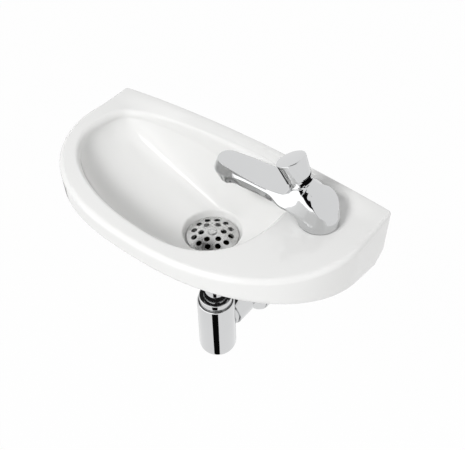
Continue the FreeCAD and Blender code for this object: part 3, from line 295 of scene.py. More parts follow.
def bowl_reach(angle, depth):
    """Distance from the waste's axis to the bowl's wall, for a direction and a depth below the rim.
    Each reach goes from lip to floor as depth^ease. The quarters' power goes to 2, a circle, as depth^0.7
    at the back and depth^3 at the front."""
    share = np.clip(depth / BOWL_DEPTH, 0, 1)
    across, along = np.cos(angle), np.sin(angle)
    reach = {side: lip + (FLOOR_RADIUS - lip) * share ** EASE[side] for side, lip in LIP_REACH.items()}
    half_x = np.where(across >= 0, reach["right"], reach["left"])
    half_y = np.where(along >= 0, reach["back"], reach["front"])
    power = np.where(along >= 0, BACK_POWER, np.where(across >= 0, FRONT_RIGHT_POWER, FRONT_LEFT_POWER))
    power = power + (2 - power) * share ** np.where(along >= 0, 0.7, 3.0)
    return ((np.abs(across) / half_x) ** power + (np.abs(along) / half_y) ** power) ** (-1 / power)


def around_waste(angle, reach, z):
    """A ring of points at a reach from the waste's axis."""
    x, y = WASTE[0] + reach * np.cos(angle), WASTE[1] + reach * np.sin(angle)
    return np.stack([x, y, z + 0 * x], axis=-1)


bowl_angle = np.arctan2(outer_plan[:, 1] - WASTE[1], outer_plan[:, 0] - WASTE[0])
under_angle = np.arctan2(inner_plan[:, 1] - WASTE[1], inner_plan[:, 0] - WASTE[0])
lip_reach = bowl_reach(bowl_angle, 0.0)
print("bowl reach at the lip:", np.round([lip_reach.min(), lip_reach.max()], 1))

# %% [markdown]
# ## The arched back
# The back of the rim stands up against the wall as a low arch, highest in the middle. A soft
# slope leads from the deck up to its crest, and water that splashes there runs back into the bowl.
# The arch is added to the deck's height, so it needs no piece of its own.

# %% Deck height
ARCH_CREST, ARCH_ENDS, ARCH_HALF_WIDTH = 12.0, 0.8, 194.0
ARCH_FOOT_Y, ARCH_CREST_Y = -34.0, -5.0


def arch_rise(x):
    """A parabola across the back: the crest's height in the middle, and next to nothing at the sides."""
    return np.clip(ARCH_ENDS + (ARCH_CREST - ARCH_ENDS) * (1 - (x / ARCH_HALF_WIDTH) ** 2), 0, None)


def deck_height(x, y):
    """The rim's level plus a soft S-curve from the arch's foot up to its crest: 3 s^2 - 2 s^3."""
    share = np.clip((y - ARCH_FOOT_Y) / (ARCH_CREST_Y - ARCH_FOOT_Y), 0, 1)
    return RIM_Z + arch_rise(x) * (3 - 2 * share) * share ** 2


print("arch in the middle:", deck_height(0.0, ARCH_CREST_Y) - RIM_Z, "mm")

# %% [markdown]
# ## Rim, skirt and underside
# From the bowl the rows go over a soft lip, across the deck, round the rim's edge and down the
# skirt. The skirt's lower edge climbs towards the front and has a round heel at the wall, where
# the back plate carries on down. Then the rows turn inwards and come back up inside the skirt,
# along the underside of the deck and down the outside of the bowl, to the hole for the waste.

# %% Skirt heights
SKIRT_DROP, SKIRT_SLOPE = 77.0, 0.24515
HEEL_RADIUS, HEEL_DROP, HEEL_DEPTH = 25.0, 45.131, 18.5
PLATE_X, PLATE_DROPS = [0, 168, 174, 196.5], [100, 100, 94.5, HEEL_DROP]


def skirt_drop(y):
    """How far below the rim the skirt ends: a sloping line, and a quarter circle near the wall."""
    depth = -y
    line = SKIRT_DROP - SKIRT_SLOPE * depth
    heel = HEEL_DROP + np.sqrt(HEEL_RADIUS ** 2 - (np.clip(depth, 0, HEEL_RADIUS) - HEEL_RADIUS) ** 2)
    return np.where(depth < HEEL_DEPTH, np.minimum(heel, line), line)


def plate_drop(x):
    """The back plate's lower edge: level for most of its width, with slanted ends."""
    return np.maximum(np.interp(np.abs(x), PLATE_X, PLATE_DROPS), HEEL_DROP)


on_back = np.abs(outer_plan[:, 1]) < 0.01
lower_z = RIM_Z - np.where(on_back, plate_drop(outer_plan[:, 0]), skirt_drop(outer_plan[:, 1]))
print("skirt ends between", round(lower_z.min(), 1), "and", round(lower_z.max(), 1), "mm")


# %% Rows of the basin
def between(start, end, count):
    """Rows that go straight from one ring to another, without the first."""
    share = np.arange(1, count + 1) / count
    return start + (end - start) * share[:, None, None]


def quarter(start, corner, end, count):
    """Rows that turn a corner on a quarter ellipse from one ring to another, without the first."""
    turn = (np.arange(1, count + 1) / count * np.pi / 2)[:, None, None]
    return corner + (start - corner) * (1 - np.sin(turn)) + (end - corner) * (1 - np.cos(turn))


def ring_xyz(plan, z):
    """A ring of points from its plan and a height, or one height for each point."""
    return np.concatenate([plan, np.broadcast_to(z, len(plan))[:, None]], axis=1)


# %% Inside of the bowl, from the waste up to the deck
SEAT_Z, HOLE_RADIUS = -18.6, 27.5
LIP_SPREAD, LIP_DEPTH, LIP_DEEPER_BACK, LIP_DEEPER_RIGHT = 6.0, 9.0, 13.0, 3.0
hole_top = around_waste(bowl_angle, HOLE_RADIUS, SEAT_Z - 0.6)
seat_in = around_waste(bowl_angle, HOLE_RADIUS + 0.6, SEAT_Z)
seat_out = around_waste(bowl_angle, 32.6, SEAT_Z)
seat_turn = around_waste(bowl_angle, 33.5, SEAT_Z)
recess_low = around_waste(bowl_angle, 34.0, SEAT_Z + 1.4)
recess_top = around_waste(bowl_angle, 36.2, -11.0)
floor_turn = around_waste(bowl_angle, 37.0, -8.7)
floor_edge = around_waste(bowl_angle, 38.2, -8.3)
rows = [hole_top[None], seat_in[None], between(seat_in, seat_out, 2),
        quarter(seat_out, seat_turn, recess_low, 4), between(recess_low, recess_top, 3),
        quarter(recess_top, floor_turn, floor_edge, 5)]
to_back, to_right = np.clip(np.sin(bowl_angle), 0, 1), np.clip(np.cos(bowl_angle), 0, 1)
lip_depth = LIP_DEPTH + LIP_DEEPER_BACK * to_back ** 2 + LIP_DEEPER_RIGHT * to_right ** 2
depths = BOWL_DEPTH - (BOWL_DEPTH - lip_depth) * np.linspace(0, 1, 46)[:, None] ** 1.25
rows.append(around_waste(bowl_angle, bowl_reach(bowl_angle, depths), RIM_Z - depths))
lip_top = around_waste(bowl_angle, lip_reach + LIP_SPREAD, 0)
lip_top[:, 2] = deck_height(lip_top[:, 0], lip_top[:, 1])
wall_top = rows[-1][-1]
lip_corner = np.concatenate([wall_top[:, :2], lip_top[:, 2:]], axis=1)
rows.append(quarter(wall_top, lip_corner, lip_top, 14))
print("bowl rows so far:", sum(len(part) for part in rows))

# %% Deck, rim edge and skirt
RIM_ROLL, BACK_ROLL, SKIRT_ROLL = 6.5, 3.0, 4.0
edge = np.interp(-outer_plan[:, 1], [4, 40], [BACK_ROLL, RIM_ROLL])
rim_in = ring_xyz(outer_plan - outward * edge[:, None], 0)
deck = between(lip_top, rim_in, 30)
deck[..., 2] = deck_height(deck[..., 0], deck[..., 1])
rim_top_z = deck[-1, :, 2]
rim_turn = ring_xyz(outer_plan, rim_top_z)
rim_side = ring_xyz(outer_plan, rim_top_z - edge)
skirt_low = ring_xyz(outer_plan, lower_z + SKIRT_ROLL)
skirt_turn = ring_xyz(outer_plan, lower_z)
inward = inner_plan - outer_plan
inward /= np.linalg.norm(inward, axis=1, keepdims=True)
foot_out = ring_xyz(outer_plan + inward * SKIRT_ROLL, lower_z)
foot_in = ring_xyz(inner_plan - inward * 2, lower_z)
rows += [deck, quarter(deck[-1], rim_turn, rim_side, 8), between(rim_side, skirt_low, 10),
         quarter(skirt_low, skirt_turn, foot_out, 6), between(foot_out, foot_in, 2)]
print("rows down to the skirt's edge:", sum(len(part) for part in rows))

# %% Underside, back to the waste
BOWL_WALL, CEILING_Z = 11.0, 60.0
BOSS_PROFILE = [(50.0, -19.0), (46.6, -19.4), (44.6, -20.6), (44.0, -22.5), (44.0, -33.8), (43.2, -34.6),
                (HOLE_RADIUS + 0.6, -34.6), (HOLE_RADIUS, -34.0)]
inner_turn = ring_xyz(inner_plan, lower_z)
inner_low = ring_xyz(inner_plan, lower_z + 2)
inner_top = ring_xyz(inner_plan, CEILING_Z - 4)
ceiling_turn = ring_xyz(inner_plan, CEILING_Z)
plan_reach = np.hypot(*(inner_plan - WASTE).T)
depths = BOWL_DEPTH * np.linspace(0.12, 1, 22)[:, None]
shell_reach = np.minimum(bowl_reach(under_angle, depths) + BOWL_WALL, plan_reach - 0.4)
shell = around_waste(under_angle, shell_reach, RIM_Z - depths - BOWL_WALL * depths / BOWL_DEPTH)
shell_plan = shell[0][:, :2]
ceiling_share = np.minimum(4 / (plan_reach - np.hypot(*(shell_plan - WASTE).T)), 0.4)[:, None]
ceiling = ring_xyz(inner_plan + (shell_plan - inner_plan) * ceiling_share, CEILING_Z)
shell_turn = ring_xyz(shell_plan, CEILING_Z)
rows += [quarter(foot_in, inner_turn, inner_low, 3), between(inner_low, inner_top, 8),
         quarter(inner_top, ceiling_turn, ceiling, 4), between(ceiling, shell_turn, 5), shell]
rows.append(np.stack([around_waste(under_angle, radius, z) for radius, z in BOSS_PROFILE]))
basin = skin("basin_ceramic", np.concatenate(rows), rows_close=True, crease=40)

# %% [markdown]
# ## Holes through the ceramic
# The potter leaves three holes besides the waste: two in the back plate for the wall bolts and one
# in the ledge for the tap. They are cut with plain round tools after the skin is made.

# %% Bolt holes and tap hole
BOLT_X, BOLT_HOLE_RADIUS = 140.0, 7.9
TAP_AT, TAP_HOLE_RADIUS = np.array([144.5, -61.5, 72.8]), 17.0


def round_tool(name, radius, low, high, origin, axis, segments=96):
    """A plain round bar, closed at both ends, to cut with."""
    bar = np.array([(0, low), (radius, low), (radius, high), (0, high)])
    return lathe(name, bar, origin, axis, segments=segments, closed=False)


for x in (-BOLT_X, BOLT_X):
    carve(basin, round_tool("bolt_hole_tool", BOLT_HOLE_RADIUS, -20, 5, (x, 0, 0), (0, 1, 0)), crease=40)
tap_hole = round_tool("tap_hole_tool", TAP_HOLE_RADIUS, 50, 80, (TAP_AT[0], TAP_AT[1], 0), (0, 0, 1))
carve(basin, tap_hole, crease=40)
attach(basin, "fixed_set")
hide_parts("basin")
print("basin faces:", len(basin.data.polygons))

# %% [markdown]
# ## The tap's body
# The body is cast in brass and polished before it is plated. It has a round foot, a leaning shoulder
# that carries the push button, a flat facet at the rear, and a long spout with a flat top. Four
# lines give it its shape, each from the rear to the nose: the edge of the top, a waist in the flank,
# its widest line, and the lower edge. A section is drawn through the four at each place, with small
# radii where the real edges are polished over. Both sides are alike, so one half gives the other.

# %% The lines of the tap in plan
STATIONS = 260
OUTLET_REACH = 114.5
TOP_EDGE = [(-6, 21.2), (0, 20.4), (6, 17.4), (11, 15), (16, 14), (24, 13.8), (32, 14), (38, 15), (44, 16.6),
            (52, 17.8), (62, 18.2), (75, 17.7), (88, 16.7), (100, 15.4)]
WIDEST_LINE = [(-2, 22.9), (8, 22.8), (20, 22.6), (32, 22.2), (40, 21.5), (48, 20.4), (56, 19.7), (64, 19.5),
               (75, 19), (88, 18.2), (100, 17.3)]
LOWER_EDGE = [(0, 23), (8, 21.6), (15, 17.9), (22, 14.2), (29, 13), (38, 14), (50, 16.4), (90, 15.6),
              (102, 13)]


def fair(share, places, values):
    """A smooth line through a few stations, made of cubic pieces.
    Its slope at a station is the mean of the two chords there, or level where they change direction."""
    places, values = np.asarray(places, float), np.asarray(values, float)
    chord = np.diff(values) / np.diff(places)
    slope = np.concatenate([chord[:1], (chord[1:] + chord[:-1]) / 2, chord[-1:]])
    flat = np.concatenate([[False], chord[1:] * chord[:-1] <= 0, [False]])
    slope[flat] = 0
    piece = np.clip(np.searchsorted(places, share, side="right") - 1, 0, len(places) - 2)
    width = np.diff(places)[piece]
    t = (share - places[piece]) / width
    start, end = values[piece], values[piece + 1]
    return ((1 + 2 * t) * (1 - t) ** 2 * start + t * (1 - t) ** 2 * width * slope[piece]
            + t ** 2 * (3 - 2 * t) * end + t ** 2 * (t - 1) * width * slope[piece + 1])


def half_line(rear, outlet, nose_half, flank, tip):
    """One line's reach and half-width from the rear to the nose.
    The rear is a quarter ellipse, the nose another, and the flank between them is a fair line."""
    rear_centre, rear_half = flank[0]
    first = np.linspace(0, np.pi / 2, STATIONS // 4, endpoint=False)
    last = np.linspace(0, np.pi / 2, STATIONS // 4)
    middle = np.linspace(rear_centre, outlet, STATIONS // 2, endpoint=False)
    stations = flank + [(outlet, nose_half)]
    reach = np.concatenate([rear_centre + (rear - rear_centre) * np.cos(first), middle,
                            outlet + (tip - outlet) * np.sin(last)])
    half = np.concatenate([rear_half * np.sin(first), fair(middle, *zip(*stations)),
                           nose_half * np.cos(last)])
    return reach, half


top_reach, top_half = half_line(-19.5, 112.3, 13.5, TOP_EDGE, 125.8)
wide_reach, wide_half = half_line(-23, OUTLET_REACH, 15.8, WIDEST_LINE, 131.4)
low_reach, low_half = half_line(-23, OUTLET_REACH, 10.0, LOWER_EDGE, 124.5)
print("tap lines:", len(top_reach), len(wide_reach), len(low_reach))

# %% [markdown]
# The top is made of three planes. One leans with the button, one is the long top of the spout, and
# one is the facet at the rear. The leaning plane ebbs away in an S-curve where the spout begins, and
# the square root in its formula rounds off the corner between the two.

# %% Heights along the lines
BOSS_REACH, BOSS_TOP, BOSS_SLOPE = 23.75, 41.7, 0.5317
SPOUT_TOP, SPOUT_RISE = 26.3, 0.0787
FACET_TOP = 35
EBB_START, EBB_LENGTH = 24, 16
CORNER_SOFTNESS = 4
boss_plane = BOSS_TOP - BOSS_SLOPE * (top_reach - BOSS_REACH)
spout_plane = SPOUT_TOP + SPOUT_RISE * top_reach
ebb = np.clip((top_reach - EBB_START) / EBB_LENGTH, 0, 1)
ramp = (boss_plane - spout_plane) * (1 - (3 - 2 * ebb) * ebb ** 2)
top_z = spout_plane + (ramp + np.sqrt(ramp ** 2 + CORNER_SOFTNESS)) / 2
top_z = np.minimum(top_z, FACET_TOP + top_reach)
wide_z = fair(wide_reach, [-23, -10, 0, 12, 24, 36, 40, 44, 48, 52, 58, 80, 100, 114.5, 131.4],
              [9, 11.5, 13, 14.5, 15.6, 17.1, 18.6, 21.8, 25, 26.8, 27.9, 29.2, 27, 24.5, 22.5])
low_z = fair(low_reach, [-23, 4, 10, 18, 28, 38, 50, 60, 92, 104, 112, 124.5],
             [0, 0, 0.4, 3.4, 8.6, 11.5, 15, 17, 17.6, 13, 8.4, 8.4])
waist_out = np.interp(top_reach, [42, 48, 56, 96, 108], [0.5, 0.38, 0.15, 0.15, 0.5])
waist_up = np.interp(top_reach, [42, 50, 98, 108], [0.5, 0.65, 0.65, 0.5])
waist_reach = top_reach + (wide_reach - top_reach) * waist_out
waist_half = top_half + (wide_half - top_half) * waist_out
waist_z = wide_z + (top_z - wide_z) * waist_up
print("tap top between", round(top_z.min(), 1), "and", round(top_z.max(), 1), "mm")


# %% Sections through the lines
def section_rows(lines, sizes, flatness, steps=9):
    """Sections along the body: one corner on each line and on its mirror image, and at every corner a
    quadratic Bezier of the given size. Where flatness is 1, the top corners are straight chamfers."""
    near = [np.stack(line, axis=1) for line in lines]
    corners = np.stack(near + [line * [1, -1, 1] for line in near[::-1]], axis=1)
    count = len(near[0])
    radius = np.stack([np.broadcast_to(size, count) for size in (*sizes, *sizes[::-1])], axis=1)[..., None]
    ends = curve_ends(corners, radius, 0.48)
    leave, middle, enter = (points[:, :, None] for points in (ends[0], corners, ends[1]))
    share = np.linspace(0, 1, steps)[:, None]
    curve = bezier(leave, middle, enter, share)
    chamfer = (1 - share) * leave + share * enter
    flat = np.zeros(curve.shape[:2] + (1, 1))
    flat[:, [0, -1]] = flatness[:, None, None, None]
    return (curve + (chamfer - curve) * flat).reshape(count, -1, 3)


TAP_TURN = math.radians(185)


def on_ledge(local):
    """From the tap's own frame to the basin's: turned so that the spout points over the bowl."""
    along = np.array([math.cos(TAP_TURN), math.sin(TAP_TURN), 0])
    across = np.array([-math.sin(TAP_TURN), math.cos(TAP_TURN), 0])
    return TAP_AT + local[..., :1] * along + local[..., 1:2] * across + local[..., 2:] * np.array([0, 0, 1.0])


wedge = fair(top_reach, [-19.5, -8, -3, 3, 8, 12, 15, 18, 24, 34, 46, 126],
             [0.6, 0.6, 1.5, 5, 9, 9.5, 7, 3, 1, 0.5, 0.2, 0.2])
flatness = np.interp(top_reach, [-6, 2, 14, 20], [0, 0.85, 0.85, 0])
soft = np.interp(top_reach, [20, 46, 54, 98, 108], [3.2, 2, 0.7, 0.7, 3])
tap_lines = [(top_reach, top_half, top_z), (waist_reach, waist_half, waist_z),
             (wide_reach, wide_half, wide_z), (low_reach, low_half, low_z)]
sections = section_rows(tap_lines, (wedge, soft * 0.8, soft, 1.4), flatness)
tap = skin("tap_casting", on_ledge(sections), crease=45)
outlet_at = on_ledge(np.array([OUTLET_REACH, 0, 0.0]))
carve(tap, round_tool("outlet_tool", 9.5, -5, 22, outlet_at, (0, 0, 1)), crease=45)
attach(tap, "fixed_set")
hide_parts("tap_body")

# %% [markdown]
# ## The push button and its collar
# The button is a hollow cap that widens towards its top. Pressing it drives the valve stem, and the
# spring lifts it again. It slides over a collar, which is the head of the valve cartridge that is
# screwed into the tap. Both are turned, and both lean 28 degrees towards the spout.

# %% Button and cartridge
LEAN = math.radians(28)
push_at = on_ledge(np.array([BOSS_REACH, 0, BOSS_TOP]))
push_axis = on_ledge(np.array([math.sin(LEAN), 0, math.cos(LEAN)])) - TAP_AT
cap = rounded([(0, 29.5), (16.6, 29.5), (14.0, 6.5), (12.8, 6.5), (12.8, 25.5), (6.0, 25.5), (6.0, 19.5),
               (3.05, 19.5), (3.05, 25.5), (0, 25.5)], [0, 0.9, 0.5, 0.3, 0.6, 0.4, 0.3, 0.2, 0.2, 0])
button = lathe("push_cap", cap, push_at, push_axis, segments=128, closed=False)
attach(button, "button")
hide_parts("push_button")
collar_profile = rounded([(3.05, 9.0), (12.3, 9.0), (12.3, 3.6), (12.7, 1.6), (13.4, 0.6), (13.4, -5.0),
                          (10.4, -5.0), (10.4, -31.0), (7.6, -31.0), (7.6, -18.0), (5.5, -18.0),
                          (5.5, -5.0), (3.05, -5.0)],
                         [0.35, 0.35, 0.9, 0.9, 0.25, 0.2, 0.35, 0.35, 0.35, 0.35, 0.35, 0.35, 0.35])
collar = lathe("cartridge_collar", collar_profile, push_at, push_axis, segments=128)
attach(collar, "fixed_set")
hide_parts("cartridge_housing")

# %% [markdown]
# The return spring is a helix of round wire between the cartridge's head and the button's roof. Each
# ring of points stands across the wire, and the two end rings shrink to a point.

# %% Return spring
SPRING_TURNS, SPRING_PITCH, SPRING_RADIUS, SPRING_FOOT = 5, 2.66, 9.0, 10.6
WIRE_RADIUS, WIRE_SIDES = 0.8, 12
wind = np.linspace(0, 2 * np.pi * SPRING_TURNS, 40 * SPRING_TURNS + 1)[:, None]
spoke = np.concatenate([np.cos(wind), np.sin(wind), 0 * wind], axis=1)
coil = spoke * SPRING_RADIUS + np.array([0, 0, 1.0]) * (SPRING_FOOT + SPRING_PITCH * wind / (2 * np.pi))
onward = np.gradient(coil, axis=0)
across_wire = np.cross(onward / np.linalg.norm(onward, axis=1, keepdims=True), spoke)
turn = np.linspace(0, 2 * np.pi, WIRE_SIDES, endpoint=False)[None, :, None]
wire = coil[:, None] + WIRE_RADIUS * (np.cos(turn) * spoke[:, None] + np.sin(turn) * across_wire[:, None])
tips = np.repeat(coil[[0, -1], None], WIRE_SIDES, axis=1)
wire = np.concatenate([tips[:1], wire, tips[1:]])
place, directions = axis_frame(push_at, push_axis)
spring = skin("coil_spring", place + wire @ directions, rows_close=False, crease=50)
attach(spring, "fixed_set")
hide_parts("return_spring")
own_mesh(spring)
print("spring wire:", len(wire), "rings")

# %% [markdown]
# ## The bottle trap
# Water drops from the waste through a straight pipe into a cup, and leaves by a branch at the side.
# The water left in the cup keeps smells out. The cup widens slightly towards its foot, and a collar
# nut closes its neck. The branch is joined to the cup with a Boolean, as a casting would be.

# %% Cup with its branch
WASTE_AXIS = (WASTE[0], WASTE[1], 0.0)
OUTLET_Z = -197.7
BRANCH_BORE = 14.0
branch_at = (WASTE[0], WASTE[1], OUTLET_Z)
cup_profile = rounded([(0, -242.2), (26.8, -242.2), (25.9, -141.2), (19.4, -141.2), (19.4, -136.6),
                       (16.15, -136.6), (16.15, -144.2), (23.9, -144.2), (24.8, -240.2), (0, -240.2)],
                      [0, 7.0, 2.6, 0.3, 0.3, 0.2, 0.3, 1.5, 5.0, 0], steps=8)
cup = lathe("trap_cup", cup_profile, WASTE_AXIS, (0, 0, 1), segments=144, closed=False)
branch_profile = rounded([(BRANCH_BORE, 20.0), (19.5, 20.0), (19.5, 49.0), (16.15, 49.0), (16.15, 37.0),
                          (BRANCH_BORE, 37.0)], 0.4)
carve(cup, lathe("trap_branch", branch_profile, branch_at, (0, 1, 0)), "UNION")
bore = round_tool("branch_bore", BRANCH_BORE, 10.0, 37.5, branch_at, (0, 1, 0))
carve(cup, bore)
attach(cup, "fixed_set")
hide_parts("trap_body")

# %% Pipes, nuts and wall cover
down = WASTE_AXIS, (0, 0, 1)
to_wall = (WASTE[0], 0, OUTLET_Z), (0, 1, 0)
pipe_profiles = {
    "trap_tailpipe": (down, [(14.6, -86.6), (20.65, -86.6), (20.65, -88.6), (16.0, -88.6), (16.0, -233.2),
                             (14.6, -233.2)], 0.3),
    "trap_top_nut": (down, [(16.15, -133.6), (19.5, -133.6), (19.5, -141.2), (23.0, -141.2), (23.0, -130.6),
                            (16.15, -130.6)], [0.3, 0.3, 0.3, 0.8, 1.4, 0.5]),
    "trap_outlet_nut": (to_wall, [(19.6, -54.5), (22.0, -54.5), (22.0, -24.0), (16.15, -24.0),
                                  (16.15, -28.0), (19.6, -28.0)], [0.4, 0.9, 1.2, 0.4, 0.3, 0.3]),
    "trap_outlet_pipe": (to_wall, [(14.6, -45.0), (16.0, -45.0), (16.0, -2.0), (15.7, -2.0), (15.7, 0.0),
                                   (16.0, 0.0), (16.0, 40.0), (14.6, 40.0)], 0.25),
    "wall_rosette": (to_wall, [(16.15, -20.0), (19.0, -20.0), (19.0, -8.0), (36.0, -8.0), (36.0, 0.0),
                               (34.5, 0.0), (34.5, -6.5), (17.5, -6.5), (17.5, -18.5), (16.15, -18.5)],
                     [0.4, 1.0, 5.0, 4.0, 0.3, 0.3, 3.0, 4.0, 0.4, 0.3])}
turned_pieces = []
for name, (line, corners, radii) in pipe_profiles.items():
    piece = lathe(name + "_turned", rounded(corners, radii), *line, segments=128)
    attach(piece, "fixed_set")
    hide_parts(name)
    turned_pieces.append(piece)

# %% [markdown]
# ## The waste grille
# The grille is pressed from stainless sheet: a shallow dome with a flat rim, twelve holes in an
# outer ring and six in an inner one. The punch leaves each hole with a rounded edge, so the holes
# are cut first and every sharp edge then gets a small bevel.

# %% Grille
DOME_RADIUS, DOME_RISE, DOME_FOOT, SHEET = 31.0, 6.0, -15.6, 1.2
OUTER_RING, INNER_RING = 23.4, 13.9
DRAIN_HOLE, SCREW_HOLE = 3.7, 3.1
arc = np.linspace(0, DOME_RADIUS, 20)
crown = np.stack([arc, DOME_FOOT + DOME_RISE * (1 - (arc / DOME_RADIUS) ** 2)], axis=1)
rim_profile = rounded([(DOME_RADIUS, DOME_FOOT), (32.5, -15.9), (32.5, -17.1), (DOME_RADIUS, -17.1)],
                      [0.1, 0.7, 0.3, 0.1])
belly = crown[::-1] - [0, SHEET]
grille_profile = np.concatenate([crown[:-1], rim_profile, belly[1:]])
grille = lathe("grille_disc", grille_profile, WASTE_AXIS, (0, 0, 1), segments=144, closed=False)
hole_places = [(OUTER_RING, 25 + 30 * step, DRAIN_HOLE) for step in range(12)]
hole_places += [(INNER_RING, 40 + 60 * step, DRAIN_HOLE) for step in range(6)]
hole_places.append((0, 0, SCREW_HOLE))
for ring, degrees, radius in hole_places:
    turn = math.radians(degrees)
    place = (WASTE[0] + ring * math.cos(turn), WASTE[1] + ring * math.sin(turn), 0)
    carve(grille, round_tool("punch", radius, -25.0, -5.0, place, (0, 0, 1), segments=40))
eased = grille.modifiers.new("eased_edges", "BEVEL")
eased.width = 0.0002
eased.segments = 2
eased.limit_method = "ANGLE"
eased.angle_limit = math.radians(40)
finished_mesh(grille)
smooth(grille, 40)
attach(grille, "fixed_set")
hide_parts("waste_grille")
print("grille holes:", len(hole_places))

# %% [markdown]
# ## Finishes
# Each finish is a small node tree. Two effects are shared: a slow drift of tone, which every cast,
# fired or plated surface has, and a wipe pattern of faint water marks and cloth smears, which changes
# how sharp a reflection is from place to place. Both read Object coordinates, so they stay on the
# piece from every side and when the button moves. Glaze, rubber and nylon also get a fine bump.

# %% Shared effects
def node(tree, kind, values=None, **settings):
    """Add a node, set its plain settings, and fill the named inputs."""
    made = tree.nodes.new(kind)
    for key, value in settings.items():
        setattr(made, key, value)
    for key, value in (values or {}).items():
        made.inputs[key].default_value = value
    return made


def effect(name, inputs, outputs):
    """An empty node group with named sockets, and its two end nodes."""
    tree = bpy.data.node_groups.new(name, "ShaderNodeTree")
    for label, kind, value in inputs:
        socket = tree.interface.new_socket(label, in_out="INPUT", socket_type=kind)
        socket.default_value = value
    for label, kind in outputs:
        tree.interface.new_socket(label, in_out="OUTPUT", socket_type=kind)
    return tree, tree.nodes.new("NodeGroupInput"), tree.nodes.new("NodeGroupOutput")


# %% Wipe marks
FLOAT, COLOUR = "NodeSocketFloat", "NodeSocketColor"
marks, start, end = effect("wipe_marks", [("Scale", FLOAT, 20.0), ("Low", FLOAT, 0.03),
                                          ("High", FLOAT, 0.08)], [("Roughness", FLOAT)])
place = node(marks, "ShaderNodeTexCoord")
cloud = node(marks, "ShaderNodeTexNoise", {"Detail": 5.0, "Roughness": 0.6, "Distortion": 0.8})
spread = node(marks, "ShaderNodeMapRange", {"From Min": 0.35, "From Max": 0.75})
marks.links.new(place.outputs["Object"], cloud.inputs["Vector"])
marks.links.new(start.outputs["Scale"], cloud.inputs["Scale"])
marks.links.new(cloud.outputs["Fac"], spread.inputs["Value"])
marks.links.new(start.outputs["Low"], spread.inputs["To Min"])
marks.links.new(start.outputs["High"], spread.inputs["To Max"])
marks.links.new(spread.outputs["Result"], end.inputs["Roughness"])
print("wipe marks:", len(marks.nodes), "nodes")

# %% Tone drift
tint, start, end = effect("tone_drift", [("Tone", COLOUR, (0.8, 0.8, 0.8, 1)),
                                         ("Drift", COLOUR, (0.7, 0.7, 0.7, 1)),
                                         ("Scale", FLOAT, 8.0)], [("Color", COLOUR)])
place = node(tint, "ShaderNodeTexCoord")
cloud = node(tint, "ShaderNodeTexNoise", {"Detail": 3.0, "Roughness": 0.5})
blend = node(tint, "ShaderNodeMix", data_type="RGBA")
tint.links.new(place.outputs["Object"], cloud.inputs["Vector"])
tint.links.new(start.outputs["Scale"], cloud.inputs["Scale"])
tint.links.new(cloud.outputs["Fac"], blend.inputs["Factor"])
tint.links.new(start.outputs["Tone"], blend.inputs["A"])
tint.links.new(start.outputs["Drift"], blend.inputs["B"])
tint.links.new(blend.outputs["Result"], end.inputs["Color"])
print("shared effects:", [group.name for group in bpy.data.node_groups])


# %% A finish from the shared effects
def finish(name, tone, drift, tone_scale, rough, rough_scale, metallic=0.0, grain=None, blur=0.0, **plain):
    """A Principled surface with drifting tone and wiped roughness.
    Grain adds a fine bump: its scale, its height in metres and its strength.
    Blur is the least roughness for rays from a matt surface, so that mirrors throw a soft glow on it."""
    made = bpy.data.materials.new(name)
    made.use_nodes = True
    tree = made.node_tree
    surface = tree.nodes["Principled BSDF"]
    surface.inputs["Metallic"].default_value = metallic
    for key, value in plain.items():
        surface.inputs[key.replace("_", " ")].default_value = value
    colour = node(tree, "ShaderNodeGroup", node_tree=tint)
    colour.inputs["Tone"].default_value = (*tone, 1)
    colour.inputs["Drift"].default_value = (*drift, 1)
    colour.inputs["Scale"].default_value = tone_scale
    tree.links.new(colour.outputs["Color"], surface.inputs["Base Color"])
    wiped = node(tree, "ShaderNodeGroup", node_tree=marks)
    wiped.inputs["Scale"].default_value = rough_scale
    wiped.inputs["Low"].default_value, wiped.inputs["High"].default_value = rough
    tree.links.new(wiped.outputs["Roughness"], surface.inputs["Roughness"])
    if blur:
        path = node(tree, "ShaderNodeLightPath")
        least = node(tree, "ShaderNodeMath", {1: blur}, operation="MULTIPLY")
        more = node(tree, "ShaderNodeMath", operation="MAXIMUM")
        tree.links.new(path.outputs["Is Diffuse Ray"], least.inputs[0])
        tree.links.new(least.outputs[0], more.inputs[0])
        tree.links.new(wiped.outputs["Roughness"], more.inputs[1])
        tree.links.new(more.outputs[0], surface.inputs["Roughness"])
    if grain:
        scale, height, strength = grain
        coordinates = node(tree, "ShaderNodeTexCoord")
        fine = node(tree, "ShaderNodeTexNoise", {"Scale": scale, "Detail": 2.0})
        bump = node(tree, "ShaderNodeBump", {"Strength": strength, "Distance": height})
        tree.links.new(coordinates.outputs["Object"], fine.inputs["Vector"])
        tree.links.new(fine.outputs["Fac"], bump.inputs["Height"])
        tree.links.new(bump.outputs["Normal"], surface.inputs["Normal"])
    return made
